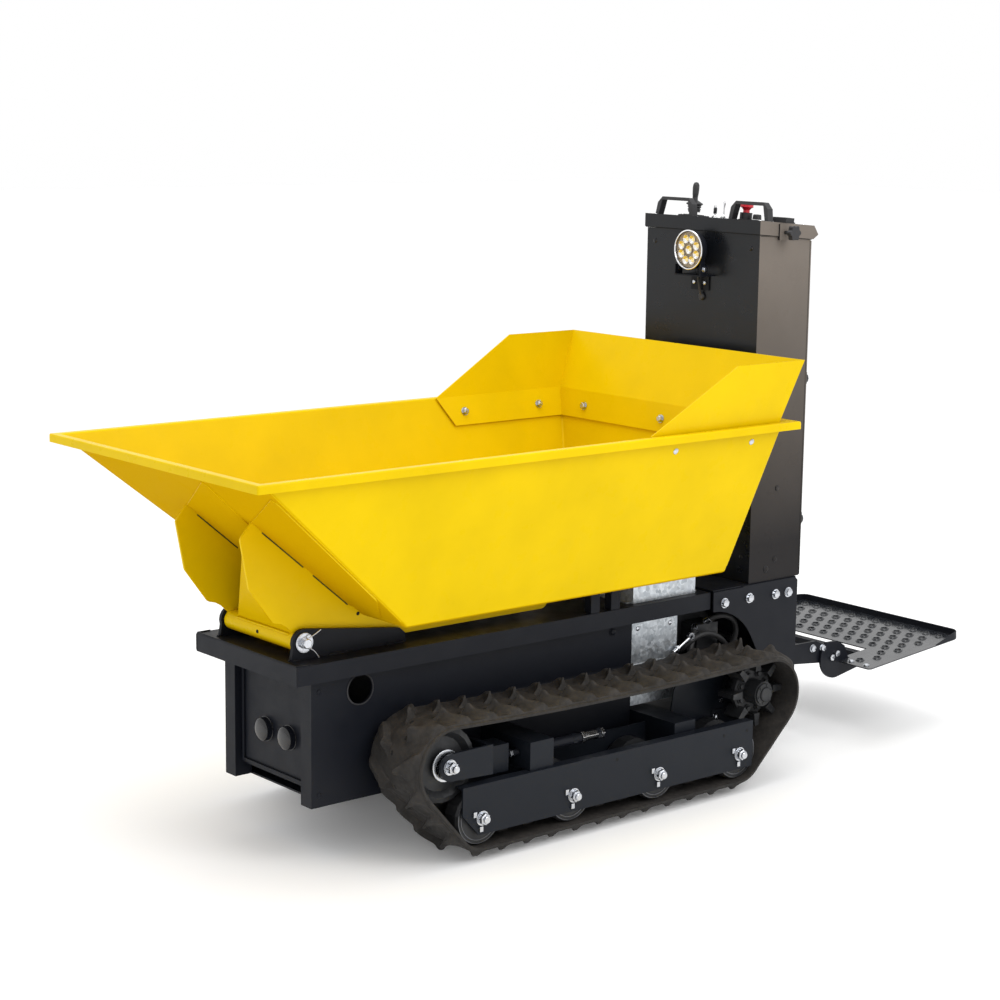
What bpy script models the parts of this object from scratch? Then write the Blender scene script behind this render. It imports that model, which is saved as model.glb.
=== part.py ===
"""Tracked mini dumper with a tipping skip, a control column and a stand-on footplate.

Frame: metres, +Z up, the dumping end towards -Y, the footplate towards +Y, X across.
The origin is on the ground, under the middle of the machine's box.
"""
import bpy
import bmesh
import math
from mathutils import Matrix, Vector

# ---------------------------------------------------------------- driving dimensions
GAP = 0.0003                 # running gap between pieces that touch
SHEET = 0.003                # skip and column sheet metal

# skip
RIM_X = 0.407
RIM_FRONT_Y = -1.139
RIM_REAR_Y = 0.359
RIM_Z = 0.889
RIM_DROP = 0.018             # height of the folded rim
MOUTH_X = 0.3875             # inner edge of the rim
MOUTH_FRONT_Y = -1.120
MOUTH_REAR_Y = 0.313
FLOOR_X = 0.276
FLOOR_FRONT_Y = -0.686
FLOOR_REAR_Y = 0.252
FLOOR_Z = 0.526
WING_TOP_Z = 1.030
WING_TOP_X = 0.399
WING_TOP_REAR_Y = 0.365
WING_TOP_FRONT_Y = 0.151
WING_FOOT_Y = -0.096
WING_LOW_FRONT_Y = -0.050
WING_LOW_Z = 0.820

# tipping hinge and its hydraulic cylinder
TIP_Y = -0.851
TIP_Z = 0.490
TIP_TUBE_R = 0.0225
TIP_PIN_R = 0.010
YOKE_X = 0.124               # middle of each bent yoke plate
RAIL_END_Y = -0.166          # rear end of the yoke's rails under the skip's floor
EAR_X = 0.1365               # middle of each hinge ear
EAR_T = 0.009
RAM_FOOT_Y = -0.750
RAM_FOOT_Z = 0.200
RAM_HEAD_Y = -0.711
RAM_HEAD_Z = 0.500
BARREL_R = 0.025
ROD_R = 0.013

# deck and chassis box
DECK_X = 0.1935
DECK_FRONT_Y = -0.905
DECK_REAR_Y = 0.2935
DECK_LOW_Z = 0.413
DECK_Z = 0.454
RAIL_T = 0.005
REST_X = 0.180               # rest posts that carry the skip when it is down
REST_W = 0.022
REST_Y = ((-0.0895, -0.063), (-0.027, 0.000))
DECK_TANK_X = 0.172
DECK_TANK_Y = (0.060, 0.262)
BOX_X = 0.165
BOX_FRONT_Y = -0.850
BOX_REAR_Y = 0.064
BOX_LOW_Z = 0.133
POST_D = 0.041
BOX_T = 0.004
TANK_REAR_Y = 0.212

# tracks
TRACK_IN_X = 0.1775
TRACK_W = 0.176
BELT_T = 0.011
LUG_H = 0.022
LUG_PITCH = 0.072
WHEEL_R = 0.084
IDLER_Y = -0.614
IDLER_Z = 0.223
SPROCKET_Y = 0.352
SPROCKET_Z = 0.222
ROLLER_R = 0.0635
ROLLER_Z = 0.097
ROLLER_Y = (-0.531, -0.270, -0.009, 0.252)
TOP_SAG = 0.009
PLATE_OUT_X = 0.3445         # outer face of the outer side plate
PLATE_T = 0.004
PLATE_Y = (-0.584, 0.296)
PLATE_Z = (0.060, 0.172)
INNER_PLATE_X = 0.2145       # outer face of the inner side plate
BEAM_X = 0.335
AXLE_R = 0.008

# control column
COLUMN_X = 0.193
COLUMN_Y = (0.4235, 0.601)
COLUMN_Z = (0.4583, 1.3035)
HEAD_X = 0.198
HEAD_FRONT_Y = 0.4185
HEAD_FRONT_Z = (1.3045, 1.337)
HEAD_SLOPE = -0.0875         # the head falls towards the operator
HEAD_REAR_Y = 0.606
HEAD_TIP_Y = 0.621
SIDE_PLATE_X = 0.1995        # outer face of the rear side plates
CROSS_Y = (0.580, 0.588)

# footplate
STEP_HINGE_Y = 0.766
STEP_HINGE_Z = 0.221
STEP_X = 0.282
STEP_Y = (0.780, 1.139)
STEP_SLOPE = 0.090
STEP_Z = 0.2073              # top of the tray at its front edge
STEP_LIP = 0.018


def head_z(y):
    """Height of the control head's sloping top at a station along the machine."""
    return HEAD_FRONT_Z[1] + HEAD_SLOPE * (y - HEAD_FRONT_Y)


# ---------------------------------------------------------------- scene and materials
def clear_scene():
    for obj in list(bpy.data.objects):
        bpy.data.objects.remove(obj, do_unlink=True)


def new_collection(name):
    collection = bpy.data.collections.new(name)
    bpy.context.scene.collection.children.link(collection)
    return collection


def material(name, colour, roughness, metallic=0.0):
    """A Principled material, made once and then reused."""
    found = bpy.data.materials.get(name)
    if found:
        return found
    made = bpy.data.materials.new(name)
    made.use_nodes = True
    shader = made.node_tree.nodes["Principled BSDF"]
    shader.inputs["Base Color"].default_value = (*colour, 1.0)
    shader.inputs["Roughness"].default_value = roughness
    shader.inputs["Metallic"].default_value = metallic
    return made


clear_scene()
PARTS = new_collection("power_wheelbarrow")
CUTTERS = new_collection("cutters")

YELLOW = material("yellow_paint", (0.90, 0.66, 0.01), 0.32)
BLACK = material("black_powder_coat", (0.030, 0.032, 0.037), 0.48)
RUBBER = material("track_rubber", (0.060, 0.056, 0.052), 0.85)
ZINC = material("zinc_plate", (0.72, 0.74, 0.78), 0.25, 1.0)
GALVANISED = material("galvanised_sheet", (0.55, 0.58, 0.61), 0.42, 0.9)
CAST = material("cast_iron", (0.075, 0.076, 0.080), 0.60, 0.5)
PLASTIC = material("black_plastic", (0.018, 0.018, 0.020), 0.50)
RED = material("red_plastic", (0.60, 0.012, 0.020), 0.30)
LENS = material("lamp_lens", (0.92, 0.90, 0.82), 0.08)
CHROME = material("chrome", (0.86, 0.87, 0.88), 0.10, 1.0)


# ---------------------------------------------------------------- modelling helpers
def add_mesh(name, mesh, finish, collection=None):
    obj = bpy.data.objects.new(name, mesh)
    (collection or PARTS).objects.link(obj)
    mesh.materials.append(finish)
    return obj


def smooth(obj, angle=35.0):
    obj.data.shade_smooth()
    obj.data.set_sharp_from_angle(angle=math.radians(angle))
    return obj


def mesh_from(bm, name):
    bmesh.ops.recalc_face_normals(bm, faces=bm.faces)
    mesh = bpy.data.meshes.new(name)
    bm.to_mesh(mesh)
    bm.free()
    return mesh


def block(name, low, high, finish, collection=None):
    """A box between two corners."""
    bm = bmesh.new()
    bmesh.ops.create_cube(bm, size=1.0)
    size = [b - a for a, b in zip(low, high)]
    middle = [(a + b) / 2 for a, b in zip(low, high)]
    bmesh.ops.scale(bm, vec=size, verts=bm.verts)
    bmesh.ops.translate(bm, vec=middle, verts=bm.verts)
    return add_mesh(name, mesh_from(bm, name), finish, collection)


AXIS_TURN = {
    "X": Matrix.Rotation(math.radians(90), 4, "Y"),
    "Y": Matrix.Rotation(math.radians(-90), 4, "X"),
    "Z": Matrix.Identity(4),
}


def rod(name, centre, radius, length, axis, finish, segments=24, tip_radius=None, collection=None):
    """A cylinder, or a cone when tip_radius is given, centred on a point."""
    bm = bmesh.new()
    bmesh.ops.create_cone(bm, cap_ends=True, segments=segments, radius1=radius,
                          radius2=radius if tip_radius is None else tip_radius, depth=length)
    bmesh.ops.transform(bm, matrix=Matrix.Translation(centre) @ AXIS_TURN[axis], verts=bm.verts)
    return smooth(add_mesh(name, mesh_from(bm, name), finish, collection))


# local x and y of a drawing become these world axes, its thickness the third
DRAWING = {
    "YZ": Matrix(((0, 0, 1, 0), (1, 0, 0, 0), (0, 1, 0, 0), (0, 0, 0, 1))),
    "XY": Matrix.Identity(4),
    "XZ": Matrix(((1, 0, 0, 0), (0, 0, -1, 0), (0, 1, 0, 0), (0, 0, 0, 1))),
}


def outline(name, loops, thickness, plane, offset, finish, collection=None):
    """A flat plate: closed loops of points, the first its edge and the others its holes."""
    curve = bpy.data.curves.new(name, "CURVE")
    curve.dimensions = "2D"
    curve.fill_mode = "BOTH"
    curve.extrude = thickness / 2
    for loop in loops:
        spline = curve.splines.new("POLY")
        spline.points.add(len(loop) - 1)
        for point, (u, v) in zip(spline.points, loop):
            point.co = (u, v, 0.0, 1.0)
        spline.use_cyclic_u = True
    drawn = bpy.data.objects.new(name + "_curve", curve)
    bpy.context.scene.collection.objects.link(drawn)
    graph = bpy.context.evaluated_depsgraph_get()
    mesh = bpy.data.meshes.new_from_object(drawn.evaluated_get(graph))
    bpy.data.objects.remove(drawn, do_unlink=True)
    bm = bmesh.new()
    bm.from_mesh(mesh)
    bpy.data.meshes.remove(mesh)
    bmesh.ops.remove_doubles(bm, verts=bm.verts, dist=0.00001)
    shift = {"YZ": (offset, 0, 0), "XY": (0, 0, offset), "XZ": (0, offset, 0)}[plane]
    bmesh.ops.transform(bm, matrix=Matrix.Translation(shift) @ DRAWING[plane], verts=bm.verts)
    return add_mesh(name, mesh_from(bm, name), finish, collection)


def turned(name, profile, centre, axis, finish, steps=24, collection=None):
    """A turned solid: (radius, height) points from the top of its axis to the bottom."""
    mesh = bpy.data.meshes.new(name)
    mesh.from_pydata([(r, 0.0, h) for r, h in profile],
                     [(i, i + 1) for i in range(len(profile) - 1)], [])
    obj = add_mesh(name, mesh, finish, collection)
    screw = obj.modifiers.new("turn", "SCREW")
    screw.axis = "Z"
    screw.steps = steps
    screw.render_steps = steps
    screw.use_merge_vertices = True
    screw.merge_threshold = 0.00001
    obj.matrix_world = Matrix.Translation(centre) @ AXIS_TURN[axis]
    return bake(obj)


def bake(obj):
    """Replace an object's modifiers and transform by the mesh that they give."""
    graph = bpy.context.evaluated_depsgraph_get()
    mesh = bpy.data.meshes.new_from_object(obj.evaluated_get(graph))
    mesh.transform(obj.matrix_world)
    obj.modifiers.clear()
    obj.data = mesh
    obj.matrix_world = Matrix.Identity(4)
    return smooth(obj)


def combine(obj, others, operation="UNION"):
    """Join or cut an object with others, which are used up."""
    for other in others:
        step = obj.modifiers.new("combine", "BOOLEAN")
        step.operation = operation
        step.solver = "EXACT"
        step.object = other
        bpy.context.view_layer.update()
        bake(obj)
        bpy.data.objects.remove(other, do_unlink=True)
    return obj


def cut(obj, cutters):
    return combine(obj, cutters, "DIFFERENCE")


def slot_block(low, high):
    return block("cutter", low, high, BLACK, CUTTERS)


def hole(centre, radius, length, axis, segments=24):
    return rod("cutter", centre, radius, length, axis, BLACK, segments, collection=CUTTERS)


def tube(name, points, radius, finish, sides=2):
    """A round bar through smooth points, as one welded mesh."""
    curve = bpy.data.curves.new(name, "CURVE")
    curve.dimensions = "3D"
    curve.bevel_depth = radius
    curve.bevel_resolution = sides
    curve.use_fill_caps = True
    spline = curve.splines.new("POLY")
    spline.points.add(len(points) - 1)
    for point, place in zip(spline.points, points):
        point.co = (*place, 1.0)
    drawn = bpy.data.objects.new(name + "_curve", curve)
    bpy.context.scene.collection.objects.link(drawn)
    graph = bpy.context.evaluated_depsgraph_get()
    mesh = bpy.data.meshes.new_from_object(drawn.evaluated_get(graph))
    bpy.data.objects.remove(drawn, do_unlink=True)
    bm = bmesh.new()
    bm.from_mesh(mesh)
    bpy.data.meshes.remove(mesh)
    bmesh.ops.remove_doubles(bm, verts=bm.verts, dist=0.00001)
    return smooth(add_mesh(name, mesh_from(bm, name), finish))


def arc(centre, radius, start, end, count):
    """Points on a circle, angles in degrees."""
    steps = [math.radians(start + (end - start) * i / (count - 1)) for i in range(count)]
    return [(centre[0] + radius * math.cos(a), centre[1] + radius * math.sin(a)) for a in steps]


def put_origin(obj, place):
    """Move an object's origin to its joint without moving its shape."""
    obj.data.transform(Matrix.Translation(-Vector(place)))
    obj.location = place
    return obj


# ---------------------------------------------------------------- skip
def skip_ring(level, outer):
    """Corners of the skip at a height, on its inner or outer skin."""
    share = (level - FLOOR_Z) / (RIM_Z - FLOOR_Z)
    grow = 0.0 if outer else -SHEET
    half = FLOOR_X + (MOUTH_X - FLOOR_X) * share + grow
    front = FLOOR_FRONT_Y + (MOUTH_FRONT_Y - FLOOR_FRONT_Y) * share - grow * 1.3
    rear = FLOOR_REAR_Y + (MOUTH_REAR_Y - FLOOR_REAR_Y) * share + grow
    return [(-half, front, level), (half, front, level), (half, rear, level), (-half, rear, level)]


def loft(name, rings, finish, collection=None):
    """A closed solid through rings of corners, capped at both ends."""
    bm = bmesh.new()
    levels = [[bm.verts.new(p) for p in ring] for ring in rings]
    count = len(rings[0])
    for lower, upper in zip(levels, levels[1:]):
        for i in range(count):
            j = (i + 1) % count
            bm.faces.new((lower[i], lower[j], upper[j], upper[i]))
    bm.faces.new(levels[0])
    bm.faces.new(levels[-1])
    return add_mesh(name, mesh_from(bm, name), finish, collection)


def skip_body():
    """Open-topped skip with sloping sides and a folded rim."""
    shell = loft("bucket_body", [skip_ring(FLOOR_Z, True), skip_ring(RIM_Z, True)], YELLOW)
    rim = block("rim", (-RIM_X, RIM_FRONT_Y, RIM_Z - RIM_DROP), (RIM_X, RIM_REAR_Y, RIM_Z), YELLOW)
    under = slot_block((-RIM_X + SHEET, RIM_FRONT_Y + SHEET, RIM_Z - RIM_DROP - 0.01),
                       (RIM_X - SHEET, RIM_REAR_Y - SHEET, RIM_Z - SHEET))
    cut(rim, [under])
    combine(shell, [rim])
    inside = loft("cutter", [skip_ring(FLOOR_Z + SHEET, False), skip_ring(RIM_Z + 0.01, False)],
                  BLACK, CUTTERS)
    return cut(shell, [inside])


def wing_point(y, z, side, lift):
    """A point on the side sheet of the extension, lift metres inside the skip's skin."""
    share = (z - FLOOR_Z) / (RIM_Z - FLOOR_Z)
    wall = FLOOR_X + (MOUTH_X - FLOOR_X) * share
    if z > RIM_Z:
        wall = MOUTH_X + (WING_TOP_X + 0.006 - MOUTH_X) * (z - RIM_Z) / (WING_TOP_Z - RIM_Z)
    return (side * (wall - lift), y, z)


def rear_y(z):
    """Station of the skip's rear wall, and of the extension above it, at a height."""
    if z <= RIM_Z:
        share = (z - FLOOR_Z) / (RIM_Z - FLOOR_Z)
        return FLOOR_REAR_Y + (MOUTH_REAR_Y - FLOOR_REAR_Y) * share
    return MOUTH_REAR_Y + (WING_TOP_REAR_Y + 0.006 - MOUTH_REAR_Y) * (z - RIM_Z) / (WING_TOP_Z - RIM_Z)


def extension():
    """High back with two wings, a folded sheet bolted inside the skip's mouth."""
    near = SHEET + 2 * GAP
    rows = ((WING_LOW_Z, WING_LOW_FRONT_Y), (RIM_Z, WING_FOOT_Y), (WING_TOP_Z, WING_TOP_FRONT_Y))

    def skin(lift):
        """Rows of points round the three sheets, from one wing's front edge to the other's."""
        grid = []
        for z, front in rows:
            back = rear_y(z) - lift
            side = wing_point(0.0, z, 1, lift)[0]
            grid.append([(side, front, z), (side, back, z), (-side, back, z), (-side, front, z)])
        return grid

    bm = bmesh.new()
    outer = [[bm.verts.new(p) for p in row] for row in skin(near)]
    inner = [[bm.verts.new(p) for p in row] for row in skin(near + SHEET)]
    for grid in (outer, inner):
        for low, high in zip(grid, grid[1:]):
            for i in range(3):
                bm.faces.new((low[i], low[i + 1], high[i + 1], high[i]))
    for row in (0, 2):
        for i in range(3):
            bm.faces.new((outer[row][i], outer[row][i + 1], inner[row][i + 1], inner[row][i]))
    for column in (0, 3):
        for row in range(2):
            bm.faces.new((outer[row][column], outer[row + 1][column],
                          inner[row + 1][column], inner[row][column]))
    return add_mesh("bucket_extension", mesh_from(bm, "bucket_extension"), YELLOW)


def yoke_plate(name, x):
    """Outline of one plate that carries the skip: hinge at the front, a rail under the floor."""
    under = FLOOR_Z - GAP
    slope = (RIM_Z - FLOOR_Z) / (MOUTH_FRONT_Y - FLOOR_FRONT_Y)
    nose = -0.966
    low = TIP_Z - TIP_TUBE_R + 0.001
    points = [(TIP_Y + 0.004, low), (RAIL_END_Y - 0.020, low), (RAIL_END_Y - 0.006, low + 0.006),
              (RAIL_END_Y, low + 0.020), (RAIL_END_Y, under), (FLOOR_FRONT_Y, under),
              (nose, under + slope * (nose - FLOOR_FRONT_Y) - 0.0002), (-0.995, 0.7225), (-0.977, 0.6175),
              (-0.9155, 0.536), (TIP_Y - 0.015, TIP_Z + 0.0175), (TIP_Y - 0.014, TIP_Z)]
    return outline(name, [points], 0.006, "YZ", x, YELLOW)


def yoke():
    """Hinge tube with two bent plates under the skip and the ram's lever between them."""
    length = 2 * (EAR_X - EAR_T / 2 - 0.0008)
    body = rod("tipping_yoke", (0, TIP_Y, TIP_Z), TIP_TUBE_R, length, "X", YELLOW, 32)
    plates = [yoke_plate("plate", side * YOKE_X) for side in (-1, 1)]
    lever = [(TIP_Y, TIP_Z - 0.012), (RAM_HEAD_Y - 0.002, RAM_HEAD_Z - 0.017)]
    lever += arc((RAM_HEAD_Y, RAM_HEAD_Z), 0.019, -80, 60, 6)
    lever += [(-0.74, 0.5255), (TIP_Y, TIP_Z + 0.016)]
    cheeks = [outline("cheek", [lever], 0.006, "YZ", side * 0.0215, YELLOW) for side in (-1, 1)]
    combine(body, plates + cheeks)
    cut(body, [hole((0, TIP_Y, TIP_Z), TIP_PIN_R + 0.0003, 0.4, "X", 32)])
    return body


# ---------------------------------------------------------------- tip cylinder
def ram_parts():
    """Barrel on its foot pin and the rod that pushes the skip's lever."""
    foot = Vector((0, RAM_FOOT_Y, RAM_FOOT_Z))
    head = Vector((0, RAM_HEAD_Y, RAM_HEAD_Z))
    way = (head - foot).normalized()
    turn = way.to_track_quat("Z", "Y").to_matrix().to_4x4()

    def along(name, start, end, radius, finish, collection=None):
        middle = (0, 0, (start + end) / 2)
        piece = rod(name, middle, radius, end - start, "Z", finish, 24, collection=collection)
        piece.matrix_world = Matrix.Translation(foot) @ turn
        bpy.context.view_layer.update()
        return bake(piece)

    barrel = along("cylinder_barrel", 0.010, 0.232, BARREL_R, BLACK)
    combine(barrel, [rod("knuckle", foot, 0.020, 0.050, "X", BLACK)])
    cut(barrel, [hole(foot, 0.0082, 0.1, "X"), along("bore", 0.060, 0.30, ROD_R + 0.00006, BLACK, CUTTERS)])
    piston = along("cylinder_rod", 0.066, (head - foot).length, ROD_R, CHROME)
    combine(piston, [rod("eye", head, 0.015, 0.034, "X", CHROME)])
    return barrel, piston


# ---------------------------------------------------------------- deck and chassis
def deck_frame():
    """Rail frame and deck plate, with the two ears of the tipping hinge welded on."""
    low = (-DECK_X, DECK_FRONT_Y, DECK_LOW_Z)
    body = block("deck_frame", low, (DECK_X, DECK_REAR_Y, DECK_Z), BLACK)
    cut(body, [slot_block((-DECK_X + RAIL_T, DECK_FRONT_Y + RAIL_T, DECK_LOW_Z - 0.01),
                          (DECK_X - RAIL_T, DECK_REAR_Y - RAIL_T, DECK_Z - 0.004)),
               slot_block((-0.060, -0.825, 0.40), (0.060, -0.640, 0.50))])
    ears = []
    for side in (-1, 1):
        crown = arc((TIP_Y, TIP_Z), 0.029, 200, 80, 7)
        shape = [(-0.883, DECK_Z - 0.002)] + crown
        shape += [(-0.600, 0.486), (-0.586, 0.474), (-0.583, DECK_Z - 0.002)]
        ears.append(outline("ear", [shape], EAR_T, "YZ", side * EAR_X, BLACK))
    rests = []
    for side in (-1, 1):
        for front, rear in REST_Y:
            rests.append(block("rest", (side * REST_X - REST_W / 2, front, DECK_Z - 0.002),
                               (side * REST_X + REST_W / 2, rear, FLOOR_Z - 0.0006), BLACK))
    combine(body, ears + rests)
    return cut(body, [hole((0, TIP_Y, TIP_Z), TIP_PIN_R + 0.0003, 0.4, "X", 32)])


def pivot_pin():
    """Zinc pin through the ears and the tube, with a washer head at each end."""
    body = rod("pivot_pin", (0, TIP_Y, TIP_Z), TIP_PIN_R, 0.310, "X", ZINC, 32)
    face = EAR_X + EAR_T / 2 + GAP
    washers = [rod("washer", (side * (face + 0.0015), TIP_Y, TIP_Z), 0.0195, 0.003, "X", ZINC, 32)
               for side in (-1, 1)]
    return combine(body, washers)


def chassis_box():
    """Side sheets, front posts and floor of the box between the tracks."""
    top = DECK_LOW_Z - GAP
    body = block("chassis_box", (-BOX_X, BOX_FRONT_Y + POST_D, BOX_LOW_Z), (BOX_X, BOX_REAR_Y, top), BLACK)
    cut(body, [slot_block((-BOX_X + BOX_T, BOX_FRONT_Y, BOX_LOW_Z + BOX_T),
                          (BOX_X - BOX_T, 0.3, top + 0.01))])
    posts = []
    for side in (-1, 1):
        middle = side * (BOX_X - 0.019)
        posts.append(block("post", (middle - 0.0195, BOX_FRONT_Y, BOX_LOW_Z),
                           (middle + 0.0195, BOX_FRONT_Y + POST_D + 0.002, top), BLACK))
    shape = [(-0.785, BOX_LOW_Z + 0.002), (-0.715, BOX_LOW_Z + 0.002), (-0.728, 0.205)]
    shape += arc((RAM_FOOT_Y, RAM_FOOT_Z), 0.020, 15, 165, 7)
    feet = [outline("foot", [shape], 0.006, "YZ", side * 0.0295, BLACK) for side in (-1, 1)]
    pin = rod("foot_pin", (0, RAM_FOOT_Y, RAM_FOOT_Z), 0.008, 0.066, "X", BLACK)
    combine(body, posts + feet + [pin])
    beam = slot_block((-0.3, -0.3895 - GAP, 0.172 - GAP), (0.3, -0.3225 + GAP, 0.236 + GAP))
    return cut(body, [hole((0, -0.7236, 0.3745), 0.032, 0.5, "X", 32), beam])


def front_panel():
    """Recessed front panel with two round plugs."""
    inner = BOX_X - 0.0385 - GAP
    body = block("front_panel", (-inner, -0.832, 0.165), (inner, -0.828, DECK_LOW_Z - GAP), BLACK)
    plugs = [rod("plug", (x, -0.838, 0.262), 0.026, 0.0125, "Y", PLASTIC, 24) for x in (-0.030, 0.058)]
    return combine(body, plugs)


def hydraulic_tank():
    """Oil tank that closes the rear of the box."""
    low = (-BOX_X, BOX_REAR_Y + 0.0008, 0.205)
    return block("hydraulic_tank", low, (BOX_X, TANK_REAR_Y, DECK_LOW_Z - GAP), GALVANISED)


def battery_pack():
    return block("battery_pack", (-0.150, -0.640, 0.1375), (0.150, -0.410, 0.385), PLASTIC)


def pump_motor():
    """Electric motor with the hydraulic pump on its end, across the machine behind the tank."""
    body = rod("pump_motor", (0, 0.330, 0.330), 0.068, 0.190, "X", CAST, 28)
    pump = block("pump", (0.090, 0.295, 0.295), (0.150, 0.365, 0.365), CAST)
    foot = block("foot", (-0.06, 0.29, 0.2475), (0.06, 0.37, 0.285), CAST)
    return combine(body, [pump, foot])


def deck_tank():
    """Shallow metal box on the deck, under the skip, with its foot flanges."""
    front, rear = DECK_TANK_Y
    x = DECK_TANK_X
    body = block("deck_tank", (-x, front, DECK_Z + GAP), (x, rear, 0.505), GALVANISED)
    flange = block("flange", (-x + 0.01, front - 0.012, DECK_Z + GAP),
                   (x - 0.01, rear + 0.014, DECK_Z + 0.003), GALVANISED)
    return combine(body, [flange])


def rear_side_plate(name, side):
    """Plate that joins the deck to the column, cut away in an arc round the drive."""
    bite = arc((0.299, 0.255), 0.151, 90, 30, 8)
    bite += arc((SPROCKET_Y, SPROCKET_Z), 0.124, 18, -18, 6)
    shape = [(0.298, 0.454)] + bite + [(0.480, 0.170), (0.584, 0.170), (0.591, 0.180)]
    shape += [(0.591, 0.448), (0.583, 0.4565), (0.405, 0.4565), (0.395, 0.454)]
    body = outline(name, [shape], 0.004, "YZ", side * (SIDE_PLATE_X - 0.002), BLACK)
    bolts = []
    for y, z in ((0.3354, 0.424), (0.421, 0.425), (0.5122, 0.4226), (0.5572, 0.4216)):
        bolts.append(rod("bolt", (side * (SIDE_PLATE_X + 0.003), y, z), 0.0095, 0.008, "X", ZINC, 6))
    return combine(body, bolts)


def rear_crossplate():
    """Cross plate behind the drive, with the shelf, column seat and the two footplate arms."""
    inner = SIDE_PLATE_X - 0.004 - GAP
    body = block("rear_crossplate", (-inner, CROSS_Y[0], 0.170), (inner, CROSS_Y[1], 0.4575), BLACK)
    seat = block("seat", (-inner, 0.300, 0.4545), (inner, CROSS_Y[1], 0.4578), BLACK)
    shelf = block("shelf", (-0.140, 0.250, 0.240), (0.140, CROSS_Y[0] + 0.002, 0.2464), BLACK)
    arm = [(CROSS_Y[1] - 0.002, 0.225), (STEP_HINGE_Y - 0.012, 0.207)]
    arm += arc((STEP_HINGE_Y, STEP_HINGE_Z), 0.0185, -120, 60, 6)
    arm += [(0.700, 0.270), (CROSS_Y[1] - 0.002, 0.272)]
    arms = [outline("arm", [arm], 0.006, "YZ", side * 0.168, BLACK) for side in (-1, 1)]
    pin = rod("pin", (0, STEP_HINGE_Y, STEP_HINGE_Z), 0.008, 0.366, "X", ZINC, 20)
    return combine(body, [seat, shelf] + arms + [pin])


# ---------------------------------------------------------------- undercarriage
WHEELS = (  # centre and radius of what the belt runs round, in running order
    (ROLLER_Y[0], ROLLER_Z, ROLLER_R), (ROLLER_Y[3], ROLLER_Z, ROLLER_R),
    (SPROCKET_Y, SPROCKET_Z, WHEEL_R), (IDLER_Y, IDLER_Z, WHEEL_R))


def belt_path():
    """The belt's inner line as dense points with outward normals, starting under the front roller."""
    turns = []
    for (y0, z0, r0), (y1, z1, r1) in zip(WHEELS, WHEELS[1:] + WHEELS[:1]):
        span = math.hypot(y1 - y0, z1 - z0)
        heading = math.atan2(z1 - z0, y1 - y0) + math.asin((r0 - r1) / span)
        turns.append(heading)
    path = []
    for index, (y, z, r) in enumerate(WHEELS):
        arrive = turns[index - 1]
        leave = turns[index]
        while leave < arrive:
            leave += 2 * math.pi
        steps = max(3, int((leave - arrive) / 0.15))
        for i in range(steps + 1):
            a = arrive + (leave - arrive) * i / steps - math.pi / 2
            clear = r + 0.0005
            path.append((y + clear * math.cos(a), z + clear * math.sin(a), math.cos(a), math.sin(a)))
        y1, z1, r1 = WHEELS[(index + 1) % 4]
        a = leave - math.pi / 2
        start = path[-1]
        end = (y1 + (r1 + 0.0005) * math.cos(a), z1 + (r1 + 0.0005) * math.sin(a))
        count = 12
        for i in range(1, count):
            t = i / count
            sag = TOP_SAG * 4 * t * (1 - t) if index == 2 else 0.0
            path.append((start[0] + (end[0] - start[0]) * t, start[1] + (end[1] - start[1]) * t - sag,
                         math.cos(a), math.sin(a)))
    return path


def walk(path):
    """Arc lengths along a closed path."""
    lengths = [0.0]
    for p, q in zip(path, path[1:] + path[:1]):
        lengths.append(lengths[-1] + math.hypot(q[0] - p[0], q[1] - p[1]))
    return lengths


def on_path(path, lengths, s, lift):
    """The point at an arc length, lifted outwards."""
    s %= lengths[-1]
    index = max(i for i in range(len(path)) if lengths[i] <= s)
    p, q = path[index], path[(index + 1) % len(path)]
    t = (s - lengths[index]) / max(lengths[index + 1] - lengths[index], 1e-9)
    ny, nz = p[2] + (q[2] - p[2]) * t, p[3] + (q[3] - p[3]) * t
    size = math.hypot(ny, nz)
    return (p[0] + (q[0] - p[0]) * t + ny / size * lift, p[1] + (q[1] - p[1]) * t + nz / size * lift)


def belt(name, side):
    """Rubber belt with a bar lug at every pitch, as one endless band."""
    path = belt_path()
    lengths = walk(path)
    count = round(lengths[-1] / LUG_PITCH)
    pitch = lengths[-1] / count
    inner = [(point[0], point[1]) for point in path]
    outer = []
    for i in range(count):
        middle = i * pitch
        for share, lift in ((-0.24, BELT_T), (-0.12, BELT_T + LUG_H), (0.12, BELT_T + LUG_H), (0.24, BELT_T),
                            (0.5, BELT_T)):
            outer.append(on_path(path, lengths, middle + share * pitch, lift))
    middle_x = side * (TRACK_IN_X + TRACK_W / 2)
    return outline(name, [outer, inner], TRACK_W, "YZ", middle_x, RUBBER)


def roller(name, side, y):
    """Track roller: two rims with the guide groove between them, and its stub axle."""
    half = 0.0575
    profile = [(0.0, half + 0.003), (0.018, half + 0.003), (0.018, half), (ROLLER_R - 0.004, half),
               (ROLLER_R, half - 0.006), (ROLLER_R, 0.018), (0.040, 0.013), (0.040, -0.013),
               (ROLLER_R, -0.018), (ROLLER_R, -half + 0.006), (ROLLER_R - 0.004, -half),
               (0.018, -half), (0.018, -half - 0.003), (0.0, -half - 0.003)]
    place = (side * 0.2775, y, ROLLER_Z)
    body = turned(name, profile, place, "X", CAST, 18)
    return put_origin(cut(body, [hole(place, AXLE_R + 0.0004, 0.3, "X", 16)]), place)


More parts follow.
